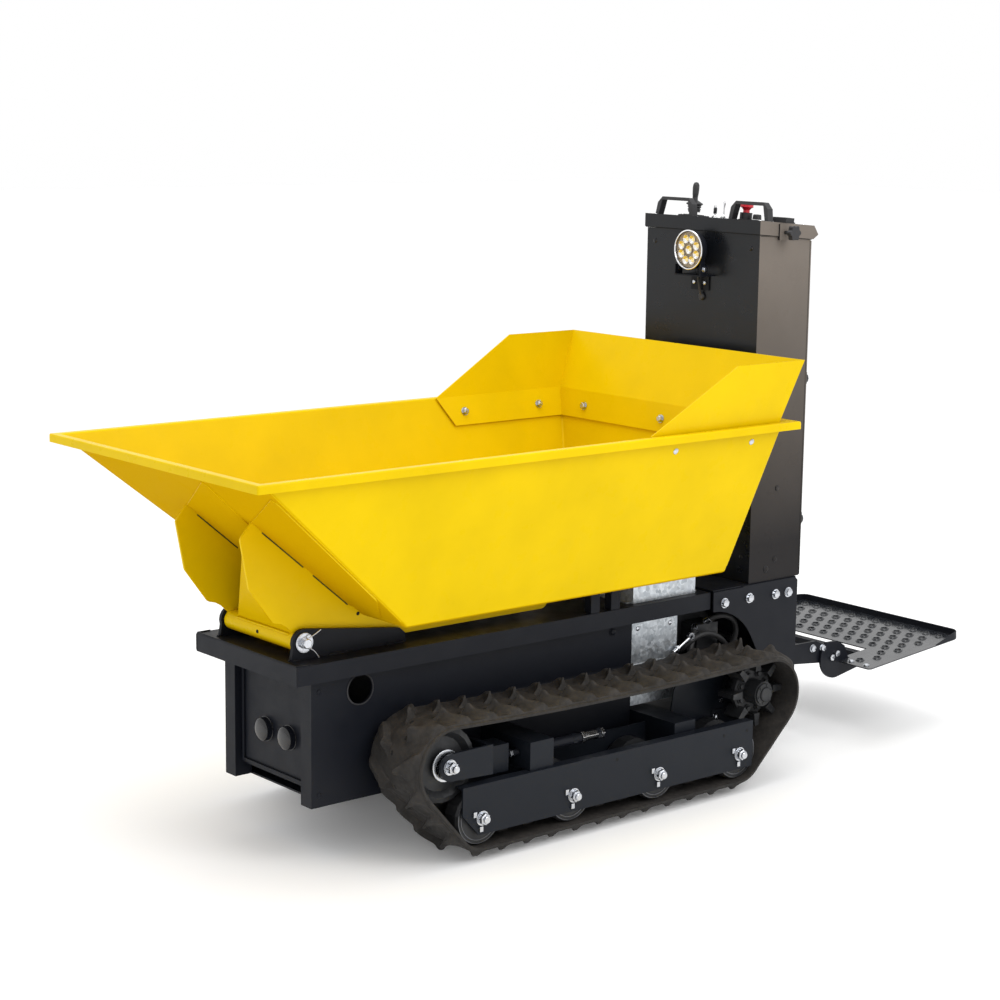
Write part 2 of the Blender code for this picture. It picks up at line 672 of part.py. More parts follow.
def idler(name, side):
    half = 0.040
    profile = [(0.0, half + 0.004), (0.020, half + 0.004), (0.020, half - 0.006), (0.060, half - 0.012),
               (0.072, half), (WHEEL_R, half - 0.004), (WHEEL_R, 0.018), (0.066, 0.013), (0.066, -0.013),
               (WHEEL_R, -0.018), (WHEEL_R, -half + 0.004), (0.072, -half), (0.060, -half + 0.012),
               (0.020, -half + 0.006), (0.020, -half - 0.004), (0.0, -half - 0.004)]
    place = (side * 0.2775, IDLER_Y, IDLER_Z)
    body = turned(name, profile, place, "X", CAST, 22)
    return put_origin(cut(body, [hole(place, AXLE_R + 0.0004, 0.3, "X", 16)]), place)


def fork(name, side):
    """Idler fork with its axle bolt, square shank and tension rod."""
    middle = side * 0.2775
    shank_z = (0.172 + 0.0008, 0.235)
    body = block(name, (middle - 0.058, -0.507, 0.186), (middle + 0.058, -0.495, 0.252), BLACK)
    ears = []
    for offset in (-0.0545, 0.0545):
        shape = arc((IDLER_Y + 0.006, IDLER_Z - 0.003), 0.030, 270, 90, 9)
        shape += [(-0.496, 0.252), (-0.496, 0.186)]
        ears.append(outline("ear", [shape], 0.007, "YZ", middle + offset, BLACK))
    shank = block("shank", (middle - 0.026, -0.496, shank_z[0]), (middle + 0.026, -0.425, shank_z[1]), BLACK)
    axle = rod("axle", (middle, IDLER_Y, IDLER_Z), AXLE_R, 0.140, "X", ZINC, 20)
    nut = rod("nut", (middle + side * 0.063, IDLER_Y, IDLER_Z), 0.0125, 0.010, "X", ZINC, 6)
    screw = rod("screw", (middle + side * 0.012, -0.290, 0.205), 0.007, 0.275, "Y", ZINC, 16)
    jam = rod("jam_nut", (middle + side * 0.012, -0.226, 0.205), 0.0125, 0.010, "Y", ZINC, 6)
    head = rod("screw_head", (middle + side * 0.012, -0.152, 0.205), 0.0125, 0.010, "Y", ZINC, 6)
    return combine(body, ears + [shank, axle, nut, screw, jam, head])


def undercarriage_frame():
    """Two cross beams with the inner side plates and motor mounts of both tracks."""
    front = block("undercarriage_frame", (-BEAM_X, -0.3895, 0.172 + GAP), (BEAM_X, -0.3225, 0.236), BLACK)
    rear = block("beam", (-0.3125, 0.069, 0.135), (0.3125, 0.135, 0.195), BLACK)
    pieces = [rear]
    y0, y1 = PLATE_Y
    z0, z1 = PLATE_Z
    for side in (-1, 1):
        shape = [(y0, 0.110), (y0 + 0.040, z0), (y1, z0), (y1 + 0.004, 0.165)]
        shape += arc((SPROCKET_Y, SPROCKET_Z), 0.072, -60, 90, 8)
        shape += [(0.200, 0.285), (0.160, 0.240), (0.150, z1 + 0.006), (y0, z1 + 0.006)]
        pieces.append(outline("inner", [shape], PLATE_T, "YZ", side * (INNER_PLATE_X - PLATE_T / 2), BLACK))
    combine(front, pieces)
    cuts = []
    for side in (-1, 1):
        cuts.append(hole((side * (0.2775 + 0.012), -0.356, 0.205), 0.009, 0.2, "Y"))
        cuts.append(hole((side * 0.21, SPROCKET_Y, SPROCKET_Z), 0.030, 0.05, "X"))
        cuts += [hole((side * 0.21, y, ROLLER_Z), AXLE_R + GAP, 0.05, "X", 16) for y in ROLLER_Y]
    return cut(front, cuts)


def side_plate(name, side):
    """Outer side plate with its folded top flange and the four roller axle bolts."""
    y0, y1 = PLATE_Y
    z0, z1 = PLATE_Z
    shape = [(y0, z1), (y0, 0.110), (y0 + 0.045, z0), (y1, z0), (y1, z1)]
    x = side * (PLATE_OUT_X - PLATE_T / 2)
    body = outline(name, [shape], PLATE_T, "YZ", x, BLACK)
    inner = sorted((side * (PLATE_OUT_X - 0.026), side * (PLATE_OUT_X - 0.001)))
    pieces = [block("flange", (inner[0], y0, z1 - PLATE_T), (inner[1], y1, z1), BLACK)]
    for y in ROLLER_Y:
        pieces.append(rod("axle", (side * 0.281, y, ROLLER_Z), AXLE_R, 0.160, "X", ZINC, 20))
        pieces.append(rod("nut", (side * (PLATE_OUT_X + 0.006), y, ROLLER_Z), 0.0125, 0.012, "X", ZINC, 6))
    return combine(body, pieces)


def sprocket(name, side):
    """Drive sprocket: hub disc with a ring of round driving bars between two rims."""
    place = (side * 0.2775, SPROCKET_Y, SPROCKET_Z)
    body = rod(name, place, 0.030, 0.090, "X", CAST, 24)
    disc = rod("disc", place, 0.060, 0.012, "X", CAST, 24)
    teeth = []
    tip = WHEEL_R - 0.0005
    for i in range(8):
        a = math.radians(45.0 * i)
        wedge = [(-0.009, 0.052), (0.009, 0.052), (0.006, tip - 0.001), (-0.006, tip - 0.001)]
        turn = [(place[1] + u * math.cos(a) - v * math.sin(a), place[2] + u * math.sin(a) + v * math.cos(a))
                for u, v in wedge]
        teeth.append(outline("tooth", [turn], 0.052, "YZ", place[0], CAST))
    return put_origin(combine(body, [disc] + teeth), place)


def drive_motor(name, side):
    """Hydraulic wheel motor with its mounting flange and two hose ports."""
    place = (side * 0.182, SPROCKET_Y, SPROCKET_Z)
    body = rod(name, (side * 0.176, SPROCKET_Y, SPROCKET_Z), 0.040, 0.066, "X", CAST, 24)
    flange = rod("flange", (side * 0.2062, SPROCKET_Y, SPROCKET_Z), 0.055, 0.007, "X", CAST, 24)
    shaft = rod("shaft", (side * 0.2190, SPROCKET_Y, SPROCKET_Z), 0.014, 0.024, "X", ZINC, 20)
    return combine(body, [flange, shaft])


def drive_hose():
    """Pressure hose from one wheel motor over the shelf to the other."""
    points = []
    top = 0.300
    for i in range(33):
        t = i / 32
        x = -0.165 + 0.330 * t
        lift = 1 - abs(2 * t - 1) ** 4
        points.append((x, 0.428 + 0.050 * lift, 0.2650 + (top - 0.2650) * lift))
    return tube("drive_hose", points, 0.009, PLASTIC)


# ---------------------------------------------------------------- column and control head
def column_shell():
    """Front and sides of the column, folded from one sheet, open to the rear."""
    y0, y1 = COLUMN_Y
    z0, z1 = COLUMN_Z
    body = block("column_shell", (-COLUMN_X, y0, z0), (COLUMN_X, y1 - 0.001, z1), BLACK)
    cut(body, [slot_block((-COLUMN_X + SHEET, y0 + SHEET, z0 + SHEET),
                          (COLUMN_X - SHEET, y1 + 0.02, z1 + 0.02))])
    shape = [(y0 - 0.01, z1 - 0.0005), (y1 + 0.02, z1 + HEAD_SLOPE * (y1 - y0 + 0.02)),
             (y1 + 0.02, z1 + 0.05), (y0 - 0.01, z1 + 0.05)]
    wedge = outline("cutter", [shape], 0.6, "YZ", 0.0, BLACK, CUTTERS)
    return cut(body, [wedge])


def rear_door():
    """Service door of the column with its hinge barrels on the left edge."""
    y = COLUMN_Y[1] - 0.0007
    top = COLUMN_Z[1] + HEAD_SLOPE * (y - COLUMN_Y[0]) - 0.004
    body = block("rear_door", (-COLUMN_X + 0.0024, y, COLUMN_Z[0] + 0.002), (COLUMN_X, y + SHEET, top), BLACK)
    knuckles = [rod("knuckle", (-COLUMN_X + 0.002, y + 0.006, z), 0.006, 0.060, "Z", BLACK, 16)
                for z in (0.600, 1.150)]
    return put_origin(combine(body, knuckles), (-COLUMN_X + 0.002, y + 0.006, 0.0))


LATCH_X = 0.172


def door_latch(name, z):
    """Quarter-turn latch knob on the door."""
    y = COLUMN_Y[1] + SHEET - 0.0004
    body = rod(name, (LATCH_X, y + 0.002, z), 0.0095, 0.004, "Y", PLASTIC, 20)
    grip = rod("grip", (LATCH_X, y + 0.0095, z), 0.0135, 0.012, "Y", PLASTIC, 12)
    return put_origin(combine(body, [grip]), (LATCH_X, y, z))


def control_head():
    """Sloping control head that caps the column, with the clamp plate on its side."""
    low, high = HEAD_FRONT_Z
    fall = HEAD_SLOPE * (HEAD_REAR_Y - HEAD_FRONT_Y)
    tip_fall = HEAD_SLOPE * (HEAD_TIP_Y - HEAD_FRONT_Y)
    shape = [(HEAD_FRONT_Y, low), (HEAD_REAR_Y - 0.002, low + fall), (HEAD_TIP_Y, low + tip_fall + 0.012),
             (HEAD_REAR_Y, high + fall), (HEAD_FRONT_Y, high)]
    body = outline("control_head", [shape], 2 * HEAD_X, "YZ", 0.0, BLACK)
    plate = block("clamp", (HEAD_X - 0.001, 0.4816, 1.2895), (HEAD_X + 0.004, 0.5147, 1.3277), BLACK)
    return combine(body, [plate])


def star_knob():
    """Star knob on a stud at the side of the head."""
    place = (0.230, 0.5000, 1.3073)
    points = []
    for i in range(36):
        a = 2 * math.pi * i / 36
        r = 0.0165 + 0.0022 * math.cos(6 * a)
        points.append((place[1] + r * math.cos(a), place[2] + r * math.sin(a)))
    body = outline("star_knob", [points], 0.013, "YZ", place[0], PLASTIC)
    stud = rod("stud", (0.2135, place[1], place[2]), 0.0045, 0.022, "X", ZINC, 16)
    return put_origin(combine(body, [stud]), place)


def leaned(obj, y):
    """Turn a control drawn upright so that it stands square on the sloping head."""
    foot = Matrix.Translation((0, y, head_z(y)))
    obj.data.transform(foot @ Matrix.Rotation(math.atan(HEAD_SLOPE), 4, "X") @ foot.inverted())
    return obj


def head_point(x, y, height):
    """A point at a height above the sloping head, measured square to it."""
    size = math.hypot(1.0, HEAD_SLOPE)
    return (x, y - HEAD_SLOPE / size * height, head_z(y) + height / size)


def guard_handle(name, side):
    """Bridge handle that guards the controls."""
    y = 0.4575
    base = head_z(y) + GAP
    x0, x1 = 0.062, 0.193
    top = base + 0.044
    loop = [(x0, base), (x0 + 0.011, base), (x0 + 0.020, top - 0.008), (x1 - 0.020, top - 0.008),
            (x1 - 0.011, base), (x1, base), (x1 - 0.005, top - 0.015), (x1 - 0.020, top),
            (x0 + 0.020, top), (x0 + 0.005, top - 0.015)]
    return leaned(outline(name, [[(side * u, v) for u, v in loop]], 0.018, "XZ", y, PLASTIC), y)


STICK_X, STICK_Y = -0.1037, 0.494
STICK_PIVOT = 0.012


def joystick():
    """Base collar, gimbal and lever with its bellows and grip."""
    top = head_z(STICK_Y) + GAP
    pivot = head_point(STICK_X, STICK_Y, GAP + STICK_PIVOT)
    base = rod("joystick_base", (STICK_X, STICK_Y, top + 0.0025), 0.026, 0.005, "Z", PLASTIC, 24)
    cut(base, [hole((STICK_X, STICK_Y, top), 0.0195, 0.05, "Z", 28)])
    leaned(base, STICK_Y)
    gimbal = rod("joystick_gimbal", (STICK_X, STICK_Y, top + 0.0060), 0.0060, 0.008, "Z", ZINC, 20)
    profile = [(0.0, 0.0776), (0.0050, 0.0760), (0.0078, 0.0705), (0.0084, 0.0630), (0.0078, 0.0490),
               (0.0066, 0.0400), (0.0072, 0.0330), (0.0200, 0.0255), (0.0215, 0.0230), (0.0160, 0.0200),
               (0.0175, 0.0165), (0.0145, 0.0135), (0.0165, 0.0105), (0.0150, 0.0075), (0.0150, 0.0035),
               (0.0100, 0.0035), (0.0090, 0.0060), (0.0, 0.0060)]
    lever = turned("joystick_lever", profile, (STICK_X, STICK_Y, top + 0.0075), "Z", PLASTIC, 16)
    for piece in (gimbal, lever):
        put_origin(leaned(piece, STICK_Y), pivot)


def estop():
    """Emergency-stop mushroom on its square base."""
    x, y = 0.0757, 0.494
    top = head_z(y) + GAP
    base = rod("estop_base", (x, y, top + 0.0090), 0.0150, 0.018, "Z", PLASTIC, 24)
    leaned(cut(base, [hole((x, y, top + 0.012), 0.0088, 0.040, "Z")]), y)
    profile = [(0.0, 0.0445), (0.0120, 0.0425), (0.0160, 0.0375), (0.0160, 0.0310), (0.0110, 0.0285),
               (0.0080, 0.0240), (0.0080, 0.0065), (0.0, 0.0065)]
    button = turned("estop_button", profile, (x, y, top), "Z", RED, 24)
    return put_origin(leaned(button, y), head_point(x, y, GAP))


def toggle(name, x, tip):
    """Bat-handle toggle switch lever."""
    y = 0.494
    top = head_z(y) + GAP
    profile = [(0.0, tip), (0.0035, tip - 0.002), (0.0038, tip - 0.006), (0.0022, tip - 0.016),
               (0.0020, 0.009), (0.0045, 0.0060), (0.0045, 0.0008), (0.0, 0.0008)]
    body = turned(name, profile, (x, y, top), "Z", CHROME, 14)
    return put_origin(leaned(body, y), head_point(x, y, GAP + 0.005))


def speed_knob():
    x, y = 0.113, 0.494
    top = head_z(y) + GAP
    profile = [(0.0, 0.0155), (0.0085, 0.0150), (0.0100, 0.0130), (0.0110, 0.0030), (0.0, 0.0030)]
    body = turned("speed_knob", profile, (x, y, top), "Z", PLASTIC, 18)
    return put_origin(leaned(body, y), head_point(x, y, GAP))


def hour_meter():
    y = 0.534
    top = head_z(y) + GAP
    body = block("hour_meter", (0.1385, y - 0.016, top), (0.1865, y + 0.016, top + 0.003), PLASTIC)
    face = block("face", (0.1405, y - 0.014, top + 0.002), (0.1845, y + 0.014, top + 0.013), PLASTIC)
    return leaned(combine(body, [face]), y)


LAMP_PIVOT = (0.388, 1.2125)


def lamp():
    """Round work lamp: bracket on the column, turning housing and lens."""
    z = 1.2585
    front = 0.3775
    y_bolt, z_bolt = LAMP_PIVOT
    bracket = block("lamp_bracket", (-0.0445, 0.376, 1.1955), (0.0445, COLUMN_Y[0] - GAP, 1.1985), BLACK)
    foot = block("foot", (-0.030, COLUMN_Y[0] - 0.0035, 1.1600), (0.030, COLUMN_Y[0] - GAP, 1.1985), BLACK)
    pieces = [foot]
    for side in (-1, 1):
        pieces.append(block("cheek", (side * 0.0430 - 0.0015, 0.376, 1.1955),
                            (side * 0.0430 + 0.0015, 0.400, 1.2220), BLACK))
        pieces.append(rod("bolt", (side * 0.0395, y_bolt, z_bolt), 0.0030, 0.016, "X", ZINC, 12))
    combine(bracket, pieces)
    profile = [(0.0, 0.0), (0.0300, 0.0), (0.0440, 0.0080), (0.0475, 0.0160), (0.0475, 0.0290), (0.0, 0.0290)]
    housing = turned("lamp_housing", [(r, 0.0290 - h) for r, h in profile], (0.0, front, z), "Y", BLACK, 28)
    lugs = []
    for side in (-1, 1):
        shape = arc((y_bolt, z_bolt), 0.0068, 200, 340, 6)
        shape += [(y_bolt + 0.0068, 1.2400), (y_bolt - 0.0068, 1.2400)]
        lugs.append(outline("lug", [shape], 0.0060, "YZ", side * 0.0375, BLACK))
    combine(housing, lugs)
    bores = [hole((0, y_bolt, z_bolt), 0.0033, 0.12, "X", 12), hole((0, front, z), 0.0440, 0.012, "Y", 28)]
    cut(housing, bores)
    lens = rod("lamp_lens", (0, front + 0.0032, z), 0.0434, 0.0052, "Y", LENS, 28)
    for piece in (housing, lens):
        put_origin(piece, (0, y_bolt, z_bolt))


# ---------------------------------------------------------------- footplate
def tray_z(y):
    return STEP_Z + STEP_SLOPE * (y - STEP_Y[0])


def footplate_tray():
    """Perforated tray with an upstanding rear lip, notched round the hinge arms."""
    y0, y1 = STEP_Y
    t = 0.003
    section = [(y0, tray_z(y0) - t), (y1, tray_z(y1) - t), (y1, tray_z(y1) + STEP_LIP),
               (y1 - t, tray_z(y1) + STEP_LIP), (y1 - t, tray_z(y1)), (y0, tray_z(y0))]
    body = outline("footplate_tray", [section], 2 * STEP_X, "YZ", 0.0, GALVANISED)
    notch = slot_block((-0.163, y0 - 0.01, 0.1), (0.163, 0.905, 0.4))
    side = slot_block((-0.1800, y0 - 0.01, 0.1), (0.1800, 0.822, 0.4))
    corner_cuts = []
    for sx in (-1, 1):
        points = [(sx * STEP_X + sx * 0.01, y1 + 0.01), (sx * STEP_X + sx * 0.01, y1 - 0.030)]
        points += [(sx * (STEP_X - 0.030 + 0.030 * math.cos(a)), y1 - 0.030 + 0.030 * math.sin(a))
                   for a in [math.radians(15 * i) for i in range(7)]]
        points += [(sx * (STEP_X - 0.030), y1 + 0.01)]
        corner_cuts.append(outline("cutter", [points], 0.5, "XY", 0.2, BLACK, CUTTERS))
    return put_origin(cut(body, [notch, side] + corner_cuts), (0, STEP_HINGE_Y, STEP_HINGE_Z))


def footplate_frame():
    """Two round-nosed gussets joined by a cross bar, under the tray."""
    low = -0.004
    shape = arc((STEP_HINGE_Y, STEP_HINGE_Z), 0.055, 130, 285, 14)
    shape += [(0.900, 0.190), (0.960, tray_z(0.960) + low), (0.818, tray_z(0.818) + low),
              (0.800, 0.246), (0.772, 0.262)]
    body = outline("footplate_frame", [shape], 0.006, "YZ", 0.1755, BLACK)
    other = outline("gusset", [shape], 0.006, "YZ", -0.1755, BLACK)
    bar = block("bar", (-0.177, 0.880, 0.191), (0.177, 0.902, 0.209), BLACK)
    combine(body, [other, bar])
    holes = [hole((0, STEP_HINGE_Y, STEP_HINGE_Z), 0.0083, 0.5, "X")]
    return put_origin(cut(body, holes), (0, STEP_HINGE_Y, STEP_HINGE_Z))


# ---------------------------------------------------------------- build
def build():
    skip = [skip_body(), extension(), yoke()]
    for piece in skip:
        put_origin(piece, (0, TIP_Y, TIP_Z))
    barrel, piston = ram_parts()
    put_origin(barrel, (0, RAM_FOOT_Y, RAM_FOOT_Z))
    put_origin(piston, (0, RAM_FOOT_Y, RAM_FOOT_Z))
    for make in (deck_frame, pivot_pin, chassis_box, front_panel, hydraulic_tank, battery_pack, pump_motor,
                 deck_tank, rear_crossplate, undercarriage_frame, drive_hose, column_shell, rear_door,
                 control_head, star_knob, joystick, estop, speed_knob, hour_meter, lamp,
                 footplate_tray, footplate_frame):
        make()
    for side, word in ((1, "right"), (-1, "left")):
        rear_side_plate("rear_side_plate_" + word, side)
        belt("track_belt_" + word, side)
        side_plate("track_plate_" + word, side)
        sprocket("drive_sprocket_" + word, side)
        drive_motor("drive_motor_" + word, side)
        idler("idler_" + word, side)
        fork("idler_fork_" + word, side)
        guard_handle("guard_handle_" + word, side)
        for number, y in enumerate(ROLLER_Y, 1):
            roller(f"track_roller_{word}_{number}", side, y)
    door_latch("door_latch_upper", 0.947)
    door_latch("door_latch_lower", 0.597)
    toggle("tip_toggle", -0.030, 0.033)
    toggle("lamp_toggle", 0.000, 0.043)


build()
CUTTERS.hide_render = True
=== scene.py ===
import math
import random

import bmesh
import bpy
from mathutils import Matrix, Vector

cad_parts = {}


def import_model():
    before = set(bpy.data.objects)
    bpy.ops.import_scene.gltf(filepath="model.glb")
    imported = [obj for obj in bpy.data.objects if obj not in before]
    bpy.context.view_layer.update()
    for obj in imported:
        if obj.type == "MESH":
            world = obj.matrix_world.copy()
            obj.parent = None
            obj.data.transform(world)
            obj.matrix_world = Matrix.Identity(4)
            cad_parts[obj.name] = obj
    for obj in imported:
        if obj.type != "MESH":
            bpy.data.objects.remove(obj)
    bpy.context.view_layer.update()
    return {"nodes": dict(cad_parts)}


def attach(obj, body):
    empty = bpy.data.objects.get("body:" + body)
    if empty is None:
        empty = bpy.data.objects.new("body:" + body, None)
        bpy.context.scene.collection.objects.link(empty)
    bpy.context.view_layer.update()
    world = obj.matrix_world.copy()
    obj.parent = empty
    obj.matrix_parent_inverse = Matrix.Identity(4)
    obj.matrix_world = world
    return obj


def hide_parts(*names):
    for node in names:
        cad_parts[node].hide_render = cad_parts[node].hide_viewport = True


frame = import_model()
NODES = frame["nodes"]
RNG = random.Random(7)


# ------------------------------------------------------------------ materials
class Finish:
    """Builds one procedural material with a few chained helpers."""

    def __init__(self, name):
        self.mat = bpy.data.materials.new(name)
        self.mat.use_nodes = True
        self.nodes = self.mat.node_tree.nodes
        self.links = self.mat.node_tree.links
        self.shader = self.nodes["Principled BSDF"]
        self.coord = self.nodes.new("ShaderNodeTexCoord")
        self.normal = None

    def set(self, **values):
        for key, value in values.items():
            self.shader.inputs[key.replace("_", " ")].default_value = value
        return self

    def place(self, scale=(1, 1, 1), turn=(0, 0, 0)):
        node = self.nodes.new("ShaderNodeMapping")
        node.inputs["Scale"].default_value = scale
        node.inputs["Rotation"].default_value = turn
        self.links.new(self.coord.outputs["Object"], node.inputs["Vector"])
        return node.outputs["Vector"]

    def noise(self, scale, detail=3.0, rough=0.55, vector=None, distort=0.0):
        node = self.nodes.new("ShaderNodeTexNoise")
        node.inputs["Scale"].default_value = scale
        node.inputs["Detail"].default_value = detail
        node.inputs["Roughness"].default_value = rough
        node.inputs["Distortion"].default_value = distort
        self.links.new(vector or self.coord.outputs["Object"], node.inputs["Vector"])
        return node.outputs["Fac"]

    def cells(self, scale, feature="F1", output="Distance"):
        node = self.nodes.new("ShaderNodeTexVoronoi")
        node.feature = feature
        node.inputs["Scale"].default_value = scale
        self.links.new(self.coord.outputs["Object"], node.inputs["Vector"])
        return node.outputs[output]

    def span(self, value, low, high, start=0.3, end=0.7):
        node = self.nodes.new("ShaderNodeMapRange")
        node.inputs["From Min"].default_value = start
        node.inputs["From Max"].default_value = end
        node.inputs["To Min"].default_value = low
        node.inputs["To Max"].default_value = high
        self.links.new(value, node.inputs["Value"])
        return node.outputs["Result"]

    def maths(self, kind, a, b):
        node = self.nodes.new("ShaderNodeMath")
        node.operation = kind
        node.use_clamp = True
        for slot, item in zip(node.inputs, (a, b)):
            if isinstance(item, (int, float)):
                slot.default_value = item
            else:
                self.links.new(item, slot)
        return node.outputs["Value"]

    def blend(self, share, first, second):
        node = self.nodes.new("ShaderNodeMix")
        node.data_type = "RGBA"
        self.links.new(share, node.inputs["Factor"])
        for key, item in (("A", first), ("B", second)):
            slot = [s for s in node.inputs if s.name == key and s.type == "RGBA"][0]
            if isinstance(item, tuple):
                slot.default_value = (*item, 1.0)
            else:
                self.links.new(item, slot)
        return [s for s in node.outputs if s.type == "RGBA"][0]

    def facing(self, axis):
        """How far a face looks along an axis, from -1 to 1."""
        geometry = self.nodes.new("ShaderNodeNewGeometry")
        split = self.nodes.new("ShaderNodeSeparateXYZ")
        self.links.new(geometry.outputs["Normal"], split.inputs["Vector"])
        return split.outputs[axis]

    def upward(self):
        """How far a face looks up, from 0 to 1."""
        return self.maths("MAXIMUM", self.facing("Z"), 0.0)

    def height(self):
        """How high a point stands above the floor."""
        split = self.nodes.new("ShaderNodeSeparateXYZ")
        geometry = self.nodes.new("ShaderNodeNewGeometry")
        self.links.new(geometry.outputs["Position"], split.inputs["Vector"])
        return split.outputs["Z"]

    def colour(self, item):
        self.links.new(item, self.shader.inputs["Base Color"])
        return self

    def rough(self, item):
        self.links.new(item, self.shader.inputs["Roughness"])
        return self

    def bump(self, height, strength, distance):
        node = self.nodes.new("ShaderNodeBump")
        node.inputs["Strength"].default_value = strength
        node.inputs["Distance"].default_value = distance
        self.links.new(height, node.inputs["Height"])
        if self.normal:
            self.links.new(self.normal, node.inputs["Normal"])
        self.normal = node.outputs["Normal"]
        self.links.new(self.normal, self.shader.inputs["Normal"])
        return self


DUST = (0.12, 0.11, 0.10)


def shade(colour, share):
    return tuple(min(1.0, c * share) for c in colour)


def coat(name, colour, rough, peel=0.10, dust=0.05, clear=0.0, dust_colour=DUST, gloss=0.5, under=None,
         side=None):
    """Powder coat: orange peel, cloudy sheen, faint dust on faces that look up, fine rub marks.

    The under colour is painted shade laid on faces that look down. The side colour is a painted sheen on
    faces that look along +X, stronger higher up. Both take the real sheen off those faces.
    """
    f = Finish(name)
    cloud = f.noise(5.0, 4.0)
    tone = f.blend(f.span(cloud, 0.0, 1.0), shade(colour, 0.93), shade(colour, 1.05))
    patch = f.maths("MULTIPLY", f.span(f.noise(11.0, 5.0, 0.65), 0.0, 1.0, 0.45, 0.75), f.upward())
    tone = f.blend(f.maths("MULTIPLY", patch, dust), tone, dust_colour)
    if under:
        # Painted shade: faces that look down take the deeper under colour and lose their sheen.
        tone = f.blend(f.span(f.facing("Z"), 1.0, 0.0, -0.72, -0.30), tone, under)
        f.links.new(f.span(f.facing("Z"), 1.02, 1.45, -0.60, -0.20), f.shader.inputs["IOR"])
    if side:
        # Painted sheen: faces that look along +X take the lighter side colour, stronger higher up.
        painted_sheen = f.span(f.facing("X"), 0.0, 1.0, 0.80, 0.98)
        painted_sheen = f.maths("MULTIPLY", painted_sheen, f.span(f.height(), 0.12, 1.0, 0.55, 1.25))
        tone = f.blend(f.maths("MULTIPLY", painted_sheen, f.span(cloud, 0.85, 1.0)), tone, side)
        f.links.new(f.span(f.facing("X"), 1.45, 1.14, 0.80, 0.98), f.shader.inputs["IOR"])
    rubs = f.span(f.noise(30.0, 2.0, 0.5, f.place((1, 14, 14), (0.3, 0.2, 0.7))), 0.0, 1.0, 0.62, 0.70)
    base = f.span(f.noise(24.0, 3.0), rough - 0.05, rough + 0.06)
    f.colour(tone).rough(f.maths("ADD", base, f.maths("MULTIPLY", rubs, 0.06)))
    f.bump(f.noise(900.0, 1.0), peel, 0.0004).bump(f.noise(60.0, 2.0), peel * 0.35, 0.0006)
    return f.set(Coat_Weight=clear, Coat_Roughness=0.12, Specular_IOR_Level=gloss).mat


def metal(name, colour, rough, brush=0.15, stain=0.25, stain_colour=(0.42, 0.40, 0.38)):
    """Plated or bare metal with a fine brush, dull stains and small pits."""
    f = Finish(name)
    dull = f.span(f.noise(35.0, 5.0, 0.6), 0.0, 1.0, 0.48, 0.72)
    f.colour(f.blend(f.maths("MULTIPLY", dull, stain), colour, stain_colour))
    f.rough(f.span(f.noise(70.0, 4.0), rough - 0.05, rough + 0.12))
    f.bump(f.noise(260.0, 2.0, 0.5, f.place((1, 1, 9))), brush, 0.0003)
    return f.set(Metallic=1.0).mat


def galvanised(name):
    """Zinc-dipped sheet with its crystal spangle."""
    f = Finish(name)
    spangle = f.cells(130.0, output="Color")
    split = f.nodes.new("ShaderNodeSeparateColor")
    f.links.new(spangle, split.inputs["Color"])
    tone = f.blend(split.outputs["Red"], (0.36, 0.40, 0.44), (0.68, 0.72, 0.76))
    f.colour(f.blend(f.span(f.noise(9.0, 4.0), 0.0, 0.6), tone, (0.52, 0.54, 0.56)))
    f.rough(f.span(split.outputs["Green"], 0.28, 0.55, 0.0, 1.0))
    f.bump(f.cells(130.0), 0.12, 0.0004)
    return f.set(Metallic=0.85).mat


def rubber(name):
    """Moulded track rubber: matt, dusty on top and in the grooves, with mould texture."""
    f = Finish(name)
    cloud = f.noise(14.0, 5.0, 0.6)
    tone = f.blend(f.span(cloud, 0.0, 1.0), (0.0120, 0.0115, 0.0112), (0.0235, 0.0215, 0.0200))
    powder = f.span(f.noise(45.0, 5.0, 0.7), 0.1, 1.0, 0.35, 0.75)
    powder = f.maths("MULTIPLY", powder, f.span(f.upward(), 0.25, 1.0, 0.0, 1.0))
    f.colour(f.blend(f.maths("MULTIPLY", powder, 0.34), tone, (0.125, 0.108, 0.094)))
    f.rough(f.span(f.noise(80.0, 3.0), 0.62, 0.86))
    f.bump(f.noise(420.0, 3.0), 0.30, 0.0007).bump(f.noise(38.0, 4.0), 0.25, 0.0014)
    return f.set(Specular_IOR_Level=0.28).mat


def plastic(name, colour, rough, grain=0.12):
    f = Finish(name)
    cloud = f.noise(22.0, 4.0)
    f.colour(f.blend(f.span(cloud, 0.0, 1.0), shade(colour, 0.85), shade(colour, 1.15)))
    f.rough(f.span(f.noise(90.0, 3.0), rough - 0.06, rough + 0.08))
    f.bump(f.noise(700.0, 2.0), grain, 0.0003)
    return f.mat


def cast(name):
    """Dark painted casting with a sandy skin and polished high spots."""
    f = Finish(name)
    worn = f.span(f.noise(26.0, 6.0, 0.7), 0.0, 1.0, 0.58, 0.74)
    f.colour(f.blend(f.maths("MULTIPLY", worn, 0.5), (0.017, 0.018, 0.020), (0.085, 0.080, 0.076)))
    f.rough(f.span(f.noise(50.0, 4.0), 0.36, 0.62))
    f.bump(f.noise(340.0, 4.0), 0.32, 0.0006)
    return f.set(Metallic=0.25).mat


def glow_lens(name):
    """Clear lamp glass."""
    f = Finish(name)
    f.rough(f.span(f.noise(60.0, 2.0), 0.02, 0.07)).bump(f.noise(90.0, 2.0), 0.05, 0.0003)
    return f.set(Base_Color=(1.0, 0.99, 0.96, 1.0), Transmission_Weight=1.0, IOR=1.3).mat
